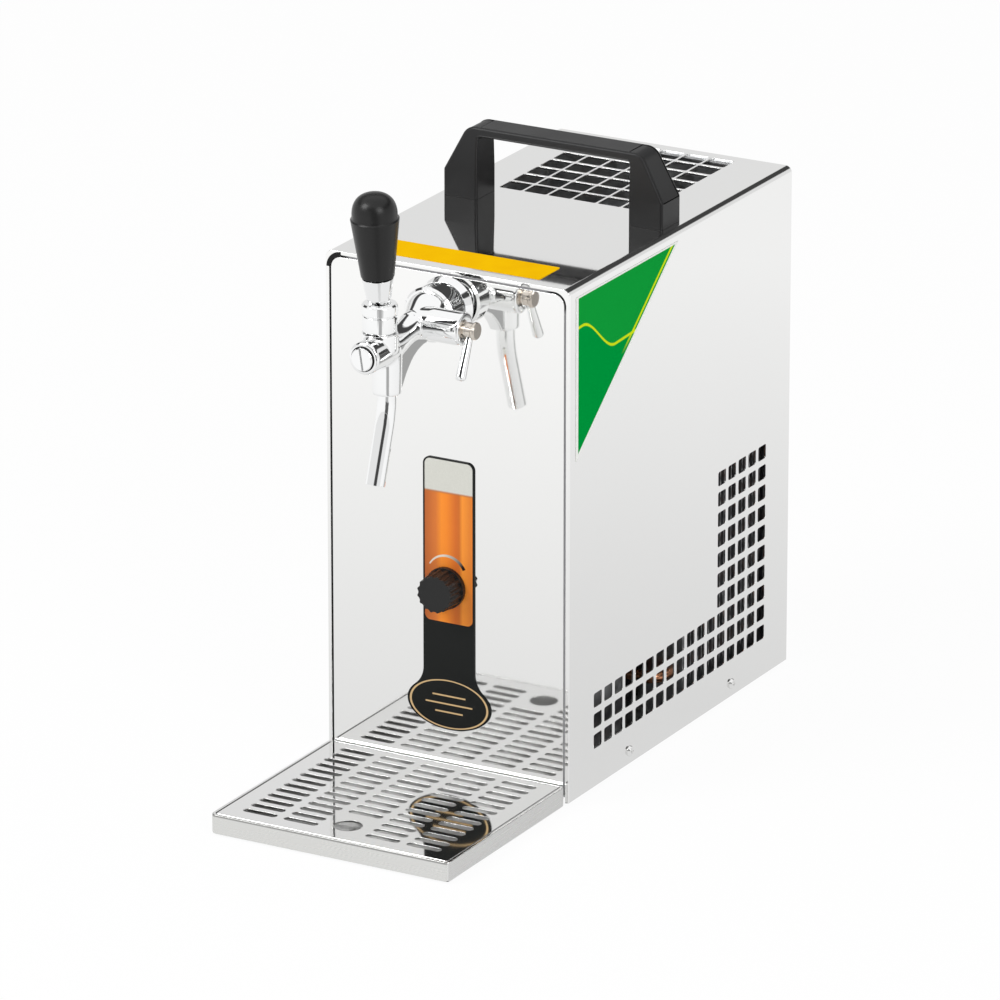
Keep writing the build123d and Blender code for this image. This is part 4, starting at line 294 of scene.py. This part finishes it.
def seal_rubber(name):
    """Black rubber, grey along the seam's top and right as a painted highlight."""
    finish = Finish(name)
    side_x, side_top = 80 * MM, 330 * MM
    top_z, top_half = 336 * MM, 72 * MM
    seam_back = -60 * MM
    x, y, z = finish.axes()
    speck = finish.noise(1600, 2)
    right = x.above(side_x, 2 * MM) * z.below(side_top, 4 * MM)
    top = z.above(top_z, 2 * MM) * abs(x).below(top_half, 4 * MM)
    # painted highlight: grey along the seam's top and right
    painted_highlight = y.below(seam_back, 2 * MM) * right.maths("MAXIMUM", top)
    return finish.set(
        Base_Color=finish.mix(painted_highlight, (0.007, 0.007, 0.007), (0.30, 0.30, 0.31)),
        Roughness=0.6 + 0.1 * speck,
        Specular_IOR_Level=0.25,
        Normal=finish.bump(speck, 0.3, 0.05 * MM),
    )


def painted(name, tint, dull):
    """Stove enamel with a little orange peel."""
    finish = Finish(name)
    peel = finish.noise(420, 2)
    return finish.set(
        Base_Color=tint,
        Roughness=dull * (0.9 + 0.2 * finish.noise(30, 2)),
        Normal=finish.bump(peel, 0.12, 0.1 * MM, edge=0.4 * MM),
    )


def drawn_tube(name, tint, dull):
    """Drawn metal tube, slightly tarnished."""
    finish = Finish(name)
    tarnish = finish.noise(70, 4)
    return finish.set(
        Base_Color=finish.mix(tarnish, scaled(tint, 0.72), tint),
        Metallic=1.0,
        Roughness=dull * (0.8 + 0.5 * tarnish),
        Normal=finish.bump(finish.noise(900, 2), 0.06, 0.05 * MM),
    )


def zinc_sheet(name):
    """Hot-dip zinc with its spangle."""
    finish = Finish(name)
    shade = finish.node("ShaderNodeSeparateXYZ", {}, {0: finish.spots(160.0, "Color")})
    return finish.set(
        Base_Color=finish.mix(shade, (0.50, 0.51, 0.52), (0.62, 0.63, 0.64)),
        Metallic=1.0,
        Roughness=0.28 + 0.16 * shade,
        Normal=finish.bump(shade, 0.05, 0.05 * MM, edge=0.3 * MM),
    )


def foam_finish(name):
    """Rigid insulating foam with its open cells."""
    finish = Finish(name)
    cell = finish.spots(420.0, "Distance")
    return finish.set(
        Base_Color=finish.mix(cell, (0.78, 0.78, 0.74), (0.88, 0.88, 0.85)),
        Roughness=0.85,
        Normal=finish.bump(cell, 0.35, 0.4 * MM),
    )


def badge_print(name):
    """Printed plate: amber glass window with a froth head on black, and a plain ringed oval below."""
    finish = Finish(name)
    low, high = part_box("badge_plate")
    x, z = finish.axes("XZ")
    across = x - (low.x + high.x) / 2
    black = (0.013, 0.014, 0.0135)
    gold = (0.62, 0.43, 0.22)
    picture = finish.mix(window_mask(across, z), black, amber_glass(finish, across, z))
    # ringed oval
    oval_z, oval_half, oval_rise = 54.2 * MM, 30.3 * MM, 17.3 * MM
    oval_x = across / oval_half
    oval_up = (z - oval_z) / oval_rise
    ring = ((oval_x * oval_x + oval_up * oval_up) ** 0.5).between(0.90, 0.945, 0.012)
    picture = finish.mix(ring, picture, gold)
    # three plain bars across the oval
    bars = None
    for height, reach in ((5.5 * MM, 12 * MM), (0, 17 * MM), (-5.5 * MM, 10 * MM)):
        level = oval_z + height
        band = z.between(level - 0.5 * MM, level + 0.5 * MM, 0.3 * MM)
        bar = abs(across).below(reach, 0.4 * MM) * band
        bars = bar if bars is None else bars.maths("MAXIMUM", bar)
    picture = finish.mix(bars, picture, gold)
    # dial arc that swells towards cold
    dial_z, dial_radius = 140 * MM, 14.3 * MM
    thin, swell = 0.25 * MM, 1.1 * MM
    arc_z = z - dial_z
    radius = (x * x + arc_z * arc_z) ** 0.5
    angle = arc_z.maths("ARCTAN2", x)
    turn = 1 - angle / pi
    arc = abs(radius - dial_radius).below(thin + turn * swell, 0.2 * MM)
    arc = arc * angle.between(radians(28), radians(150), 0.03)
    ink = finish.mix(turn.above(0.62, 0.35), (0.72, 0.66, 0.56), (0.02, 0.015, 0.012))
    picture = finish.mix(arc, picture, ink)
    return finish.set(Base_Color=picture, Roughness=0.2, Specular_IOR_Level=0.1)


def window_mask(across, z):
    """1 inside the badge's window, which is rounded at its corners."""
    bottom, top, corner = 109.5 * MM, 218.0 * MM, 4 * MM
    past_side = (abs(across) - (WINDOW_HALF - corner)).maths("MAXIMUM", 0)
    past_end = (abs(z - (top + bottom) / 2) - ((top - bottom) / 2 - corner)).maths("MAXIMUM", 0)
    return ((past_side * past_side + past_end * past_end) ** 0.5).below(corner, 0.3 * MM)


def amber_glass(finish, across, z):
    """Light and dark columns of a filled glass, under its froth."""
    columns = finish.node(
        "ShaderNodeValToRGB",
        {"stops": [
            (0.02, (0.47, 0.125, 0.035)),
            (0.24, (0.64, 0.180, 0.040)),
            (0.36, (0.87, 0.270, 0.033)),
            (0.47, (0.84, 0.245, 0.030)),
            (0.66, (0.62, 0.150, 0.028)),
            (0.73, (0.58, 0.150, 0.028)),
            (0.80, (0.86, 0.290, 0.040)),
            (0.97, (0.70, 0.210, 0.034)),
        ]},
        {0: across / (2 * WINDOW_HALF) + 0.5 + 0.02 * finish.noise(1, 2, (200, 1, 12))},
    )
    froth = finish.mix(finish.noise(1500, 3), (0.56, 0.56, 0.51), (0.66, 0.66, 0.61))
    surface = 196.8 * MM + across * 0.01
    head = z.above(surface, 1.0 * MM)
    lip = z.between(surface - 0.8 * MM, surface + 0.4 * MM, 1.0 * MM)
    filled = finish.mix(head, columns, froth)
    return finish.mix(lip * 0.7, filled, (0.42, 0.16, 0.06))


def green_print(name):
    """Corner film: two greens with a lime hairline wave, a lime stripe and a pale border."""
    finish = Finish(name)
    y, z = finish.axes("YZ")
    low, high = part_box("side_label")
    along = (y - low.y) / (high.y - low.y)
    up = (z - low.z) / (high.z - low.z)
    lime, border = (0.66, 0.80, 0.01), (0.90, 0.91, 0.88)
    # the wave drops in one soft step and then climbs gently
    wave_start, wave_width, wave_top, wave_drop = 0.06, 0.32, 0.81, 0.24
    fall = ((along - wave_start) / wave_width).clamped()
    wave = wave_top + 0.05 * along - wave_drop * fall * fall * (3 - 2 * fall)
    field = finish.mix((up - wave).above(0, 0.01), (0.000, 0.305, 0.047), (0.006, 0.335, 0.044))
    field = finish.mix(abs(up - wave).below(0.008, 0.006), field, lime)
    # stripe and border run along the slanted edge
    inside = (up - along) * 0.62
    field = finish.mix(inside.between(0.026, 0.040, 0.004) * up.above(0.55, 0.1), field, lime)
    pale = inside.below(0.014, 0.004)
    pale = pale.maths("MAXIMUM", along.below(0.020, 0.004))
    pale = pale.maths("MAXIMUM", up.above(0.990, 0.003))
    field = finish.mix(pale, field, border)
    return finish.set(Base_Color=field, Roughness=0.4, Specular_IOR_Level=0.0, IOR=1.12)


def yellow_print(name):
    finish = Finish(name)
    cloud = finish.noise(60, 3)
    return finish.set(
        Base_Color=finish.mix(cloud, (0.90, 0.47, 0.003), (1.0, 0.60, 0.003)),
        Roughness=0.3 + 0.1 * cloud,
        Specular_IOR_Level=0.0,
        IOR=1.12,
    )


def clear_hose(name, tint):
    finish = Finish(name)
    colour = finish.mix(finish.noise(90, 2), scaled(tint, 0.9), tint)
    return finish.set(Base_Color=colour, Roughness=0.25, Coat_Weight=0.2)


FINE_GRAIN = {"grain": 1800, "depth": 0.1}
SMOOTH_GRAIN = {"grain": 1800, "depth": 0.05}
FINISH_TABLE = {
    "polished_steel": (polished_sheet, {"tint": (0.875, 0.875, 0.868), "dull": 0.04}),
    "tray_steel": (tray_sheet, {}),
    "galvanised_steel": (zinc_sheet, {}),
    "tap_chrome": (plated, {"tint": (0.94, 0.945, 0.945), "dull": 0.03}),
    "hub_steel": (ground_sheet, {"tint": (0.74, 0.68, 0.61), "dull": 0.16}),
    # black_plastic takes painted shade lower down
    "black_plastic": (
        moulded,
        {"tint": (0.020, 0.020, 0.021), "dull": 0.40, "sheen": 0.3, "painted_shade_low": True},
    ),
    "black_gloss": (
        moulded,
        {"tint": (0.012, 0.012, 0.012), "dull": 0.30, "grain": 1800, "depth": 0.08, "sheen": 0.3},
    ),
    "black_rubber": (seal_rubber, {}),
    "badge_print": (badge_print, {}),
    "green_print": (green_print, {}),
    "yellow_print": (yellow_print, {}),
    "cast_aluminium": (ground_sheet, {"tint": (0.62, 0.62, 0.61), "dull": 0.45}),
    "fin_aluminium": (
        ground_sheet,
        {"tint": (0.72, 0.73, 0.74), "dull": 0.30, "stretch": (1, 1, 4), "edge": 0.1 * MM},
    ),
    "copper_tube": (drawn_tube, {"tint": (0.78, 0.36, 0.20), "dull": 0.25}),
    "steel_tube": (drawn_tube, {"tint": (0.70, 0.70, 0.69), "dull": 0.22}),
    "white_foam": (foam_finish, {}),
    "compressor_paint": (painted, {"tint": (0.012, 0.012, 0.013), "dull": 0.32}),
    "fan_plastic": (moulded, {"tint": (0.030, 0.030, 0.033), "dull": 0.45}),
    "motor_metal": (painted, {"tint": (0.09, 0.09, 0.10), "dull": 0.4}),
    "fitting_plastic": (moulded, {"tint": (0.42, 0.43, 0.44), "dull": 0.35, **FINE_GRAIN}),
    "collet_plastic": (moulded, {"tint": (0.03, 0.03, 0.035), "dull": 0.3, **FINE_GRAIN}),
    "hose_plastic": (clear_hose, {"tint": (0.72, 0.74, 0.74)}),
    "pump_plastic": (moulded, {"tint": (0.05, 0.09, 0.22), "dull": 0.4}),
    "rocker_green": (moulded, {"tint": (0.02, 0.30, 0.07), "dull": 0.25, **SMOOTH_GRAIN}),
    "rocker_black": (moulded, {"tint": (0.018, 0.018, 0.018), "dull": 0.25, **SMOOTH_GRAIN}),
}
FINISHES = {name: make(name, **choices) for name, (make, choices) in FINISH_TABLE.items()}
SLOT_OF = {row["node"]: row["material_slot"] for row in frame["record"]["subparts"]}
BODY_OF = {node: body for body, nodes in frame["record"]["behaviour"]["bodies"].items() for node in nodes}

for node_name, node in frame["nodes"].items():
    for slot in node.material_slots:
        slot.material = FINISHES[SLOT_OF[node_name]].material


# ------------------------------------------------------------------ smooth copies of the CAD skins
def finished(piece, body, slot, stands_for=()):
    """Gives a piece the finish of its record slot, and its body."""
    piece.data.materials.clear()
    piece.data.materials.append(FINISHES[slot].material)
    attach(piece, body)
    if stands_for:
        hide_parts(*stands_for)


def new_piece(name, shape):
    """Object from a bmesh, at the origin."""
    mesh = bpy.data.meshes.new(name)
    shape.to_mesh(mesh)
    shape.free()
    for leftover in ("custom_normal", "sharp_edge", "sharp_face"):
        if leftover in mesh.attributes:
            mesh.attributes.remove(mesh.attributes[leftover])
    piece = bpy.data.objects.new(name, mesh)
    bpy.context.scene.collection.objects.link(piece)
    return piece


def merged_copy(name, node_name):
    """Copy of a CAD node whose loose triangles are joined."""
    shape = bmesh.new()
    shape.from_mesh(frame["nodes"][node_name].data)
    bmesh.ops.remove_doubles(shape, verts=shape.verts, dist=WELD)
    return new_piece(name, shape)


def shade_round(piece):
    for face in piece.data.polygons:
        face.use_smooth = True


def shade(piece):
    """Smooth shading that keeps sharp edges sharp and flats flat."""
    shade_round(piece)
    piece.data.set_sharp_from_angle(angle=SMOOTH_ANGLE)
    flats = piece.modifiers.new("even_flats", "WEIGHTED_NORMAL")
    flats.keep_sharp = True


def skin(node_name):
    """Smooth-shaded copy of a CAD node, shown in its place."""
    piece = merged_copy(f"{node_name}_skin", node_name)
    shade(piece)
    finished(piece, BODY_OF[node_name], SLOT_OF[node_name], [node_name])


def apply_modifiers(piece):
    bpy.context.view_layer.update()
    view = piece.evaluated_get(bpy.context.evaluated_depsgraph_get())
    mesh = bpy.data.meshes.new_from_object(view)
    piece.modifiers.clear()
    piece.data = mesh


def open_chamber(casting):
    """Keeps the casting clear of the sliding flow cone. The rest of it is put in a group to be smoothed."""
    low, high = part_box("compensator_cone")
    middle = (low + high) / 2
    wall = (high.x - low.x) / 2 + 1.2 * MM
    travel = 3 * MM
    room_round, room_end = 0.3 * MM, 0.5 * MM
    outside = []
    for point in casting.data.vertices:
        out = Vector((point.co.x - middle.x, 0, point.co.z - middle.z))
        if out.length < wall and low.y - travel < point.co.y < high.y + travel:
            point.co += out.normalized() * room_round
            if point.co.y > high.y:
                point.co.y += room_end
            elif point.co.y < low.y:
                point.co.y -= room_end
        else:
            outside.append(point.index)
    casting.vertex_groups.new(name="outside").add(outside, 1.0, "REPLACE")


def cast_body():
    """The tap's casting with its edges and joins flowing into each other."""
    piece = merged_copy("tap_body_cast", "tap_body")
    cells = piece.modifiers.new("cells", "REMESH")
    cells.mode = "VOXEL"
    cells.voxel_size = 0.55 * MM
    apply_modifiers(piece)
    open_chamber(piece)
    flow = piece.modifiers.new("flow", "SMOOTH")
    flow.factor = 0.5
    flow.iterations = 14
    flow.vertex_group = "outside"
    apply_modifiers(piece)
    shade_round(piece)
    finished(piece, BODY_OF["tap_body"], "tap_chrome", ["tap_body"])


def turned_band(name, section, centre, axis, turn, steps):
    """Closed band: a flat section spun round an axis. A full turn has no end faces."""
    shape = bmesh.new()
    face = shape.faces.new([shape.verts.new(point) for point in section])
    swept = [*face.verts, *face.edges]
    full = turn >= 2 * pi
    if full:
        shape.faces.remove(face)
    else:
        swept.append(face)
    bmesh.ops.spin(shape, geom=swept, cent=centre, axis=axis, angle=turn, steps=steps, use_merge=full)
    bmesh.ops.recalc_face_normals(shape, faces=shape.faces)
    piece = new_piece(name, shape)
    shade(piece)
    return piece


def cap_ring():
    """Black ring in the joint round the tap's front plug."""
    low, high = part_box("valve_cap")
    middle = (low + high) / 2
    inner = middle.x + (high.x - low.x) / 2 + 0.02 * MM
    width, crown = 0.75 * MM, 0.3 * MM
    joint_y = low.y + 2.0 * MM
    depth = 0.5 * MM
    section = [
        Vector((inner, joint_y + depth, middle.z)),
        Vector((inner, joint_y - 0.35 * MM, middle.z)),
        Vector((inner + crown, joint_y - 0.55 * MM, middle.z)),
        Vector((inner + width, joint_y - 0.1 * MM, middle.z)),
        Vector((inner + width, joint_y + depth, middle.z)),
    ]
    piece = turned_band("valve_cap_ring", section, middle, (0, 1, 0), 2 * pi, 72)
    finished(piece, BODY_OF["valve_cap"], "black_rubber")


def corner_seal():
    """Wide end of the seal where the folded lip is mitred at the upper left."""
    centre = Vector((-76.7 * MM, 0, 333.2 * MM))
    inner, outer = 7.5 * MM, 10.4 * MM
    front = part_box("front_panel")[0].y - 0.15 * MM
    back = front + 0.5 * MM
    corners = ((inner, front), (inner, back), (outer, back), (outer, front))
    section = [Vector((centre.x, y, centre.z + out)) for out, y in corners]
    piece = turned_band("front_seal_corner", section, centre, (0, -1, 0), pi / 2, 16)
    finished(piece, BODY_OF["front_seal"], "black_rubber")


for node_name in frame["nodes"]:
    if node_name != "tap_body":
        skin(node_name)
cast_body()
cap_ring()
corner_seal()


# ------------------------------------------------------------------ stage, light and camera
CAMERA_PLACE = Vector((2530.94, -4543.90, 1999.54)) * MM
CAMERA_AZIMUTH = radians(29.2)
CAMERA_ELEVATION = radians(19.42)
CAMERA_LENS = 310.34                      # millimetres, as the sensor
CAMERA_SENSOR = 36
CAMERA_SIDE = Vector((sin(CAMERA_AZIMUTH), -cos(CAMERA_AZIMUTH), 0))
DARK = 0.93                               # share of the light that the dark of the room takes away
LIGHT_AIM = Vector((0, 0, 0.2))


def to_camera(x, y):
    """Cosine between a level direction and the one towards the camera."""
    never_zero = 1e-6
    length = (x * x + y * y + never_zero) ** 0.5
    return (x * CAMERA_SIDE.x + y * CAMERA_SIDE.y) / length


def seen_directly(finish):
    """Two masks: what the camera sees, and what it sees in metal or through glass."""
    path = finish.tree.nodes.new("ShaderNodeLightPath")
    seen = [Signal(finish, path.outputs[f"Is {kind} Ray"]) for kind in ("Camera", "Glossy", "Transmission")]
    return seen[0], seen[1].maths("MAXIMUM", seen[2])


def floor_in_metal(x, y):
    """How bright metal sees the floor: greyer close to the unit as a painted shadow of the unit, dark out
    towards the camera.
    """
    near_level, near_edge, near_width = 0.78, 0.15, 0.95
    wedge_level, wedge_start, far_start = 0.62, 0.55, 1.2
    reach = (x * x + y * y) ** 0.5
    # painted shadow of the unit, seen only in metal
    near = near_level + (1 - near_level) * ((reach - near_edge) / near_width).clamped()
    wedge = to_camera(x, y).above(0.988, 0.012) * reach.above(wedge_start, 0.2)
    far = to_camera(x, y).above(0.956, 0.02) * reach.above(far_start, 0.3)
    return near * (1 - (wedge_level * wedge).maths("MAXIMUM", DARK * far))


def stage_floor():
    """White sweep under the unit that keeps its shadow."""
    half_width, glowing_share = 12, 0.95
    shape = bmesh.new()
    bmesh.ops.create_grid(shape, x_segments=1, y_segments=1, size=half_width)
    floor = new_piece("studio_floor", shape)
    finish = Finish("studio_floor")
    finish.set(Base_Color=(0.92, 0.92, 0.92), Roughness=0.9)
    camera_ray, mirror_ray = seen_directly(finish)
    shown = camera_ray + mirror_ray * floor_in_metal(*finish.axes("XY"))
    glow = finish.node("ShaderNodeEmission", {}, {"Color": (1, 1, 1, 1), "Strength": shown})
    matt = Signal(finish, finish.shader.outputs[0])
    share = camera_ray.maths("MAXIMUM", mirror_ray) * glowing_share
    blend = finish.node("ShaderNodeMixShader", {}, {0: share, 1: matt, 2: glow})
    finish.tree.links.new(blend.output, finish.end.inputs[0])
    floor.data.materials.append(finish.material)


class Surroundings(Finish):
    """The world's node tree with the same ways to add nodes."""

    def __init__(self, name):
        self.world = bpy.data.worlds.new(name)
        self.world.use_nodes = True
        self.tree = self.world.node_tree
        self.tree.nodes.clear()
        self.end = self.tree.nodes.new("ShaderNodeOutputWorld")


def studio_world():
    """Pale studio. Metal sees a dark strip above the horizon and the dark of the room behind the camera."""
    room = Surroundings("studio")
    wall_level, ceiling_from, soft_light = 0.82, 0.6, 0.55
    strip_low, strip_high = 0.40, 0.66
    room_low, room_high = -0.02, 0.5
    direction = room.node("ShaderNodeTexCoord", output="Generated")
    x, y, z = [room.node("ShaderNodeSeparateXYZ", {}, {0: direction}, output=letter) for letter in "XYZ"]
    strip = z.between(strip_low, strip_high, 0.05)
    behind = to_camera(x, y).above(0.955, 0.03) * z.between(room_low, room_high, 0.05)
    pale = wall_level + (1 - wall_level) * z.above(ceiling_from, 0.1)
    level = pale * (1 - DARK * strip.maths("MAXIMUM", behind))
    camera_ray, mirror_ray = seen_directly(room)
    strength = camera_ray + mirror_ray * level + (1 - camera_ray - mirror_ray) * soft_light
    light = room.node("ShaderNodeBackground", {}, {"Color": (1, 1, 1, 1), "Strength": strength})
    room.tree.links.new(light.output, room.end.inputs[0])
    bpy.context.scene.world = room.world


def lamp(name, place, size, power):
    """Square soft light that points at the unit."""
    light = bpy.data.lights.new(name, "AREA")
    light.shape = "SQUARE"
    light.size = size
    light.energy = power
    holder = bpy.data.objects.new(name, light)
    holder.location = place
    holder.rotation_euler = (LIGHT_AIM - Vector(place)).to_track_quat("-Z", "Y").to_euler()
    bpy.context.scene.collection.objects.link(holder)


def camera():
    lens = bpy.data.cameras.new("camera")
    lens.lens = CAMERA_LENS
    lens.sensor_width = CAMERA_SENSOR
    holder = bpy.data.objects.new("camera", lens)
    holder.location = CAMERA_PLACE
    holder.rotation_euler = (pi / 2 - CAMERA_ELEVATION, 0, CAMERA_AZIMUTH)
    bpy.context.scene.collection.objects.link(holder)
    bpy.context.scene.camera = holder


stage_floor()
studio_world()
lamp("key_light", (-1.6, -2.2, 2.6), 1.6, 60)
lamp("fill_light", (2.4, -1.6, 1.8), 1.4, 30)
camera()
bpy.context.scene.view_settings.view_transform = "Standard"
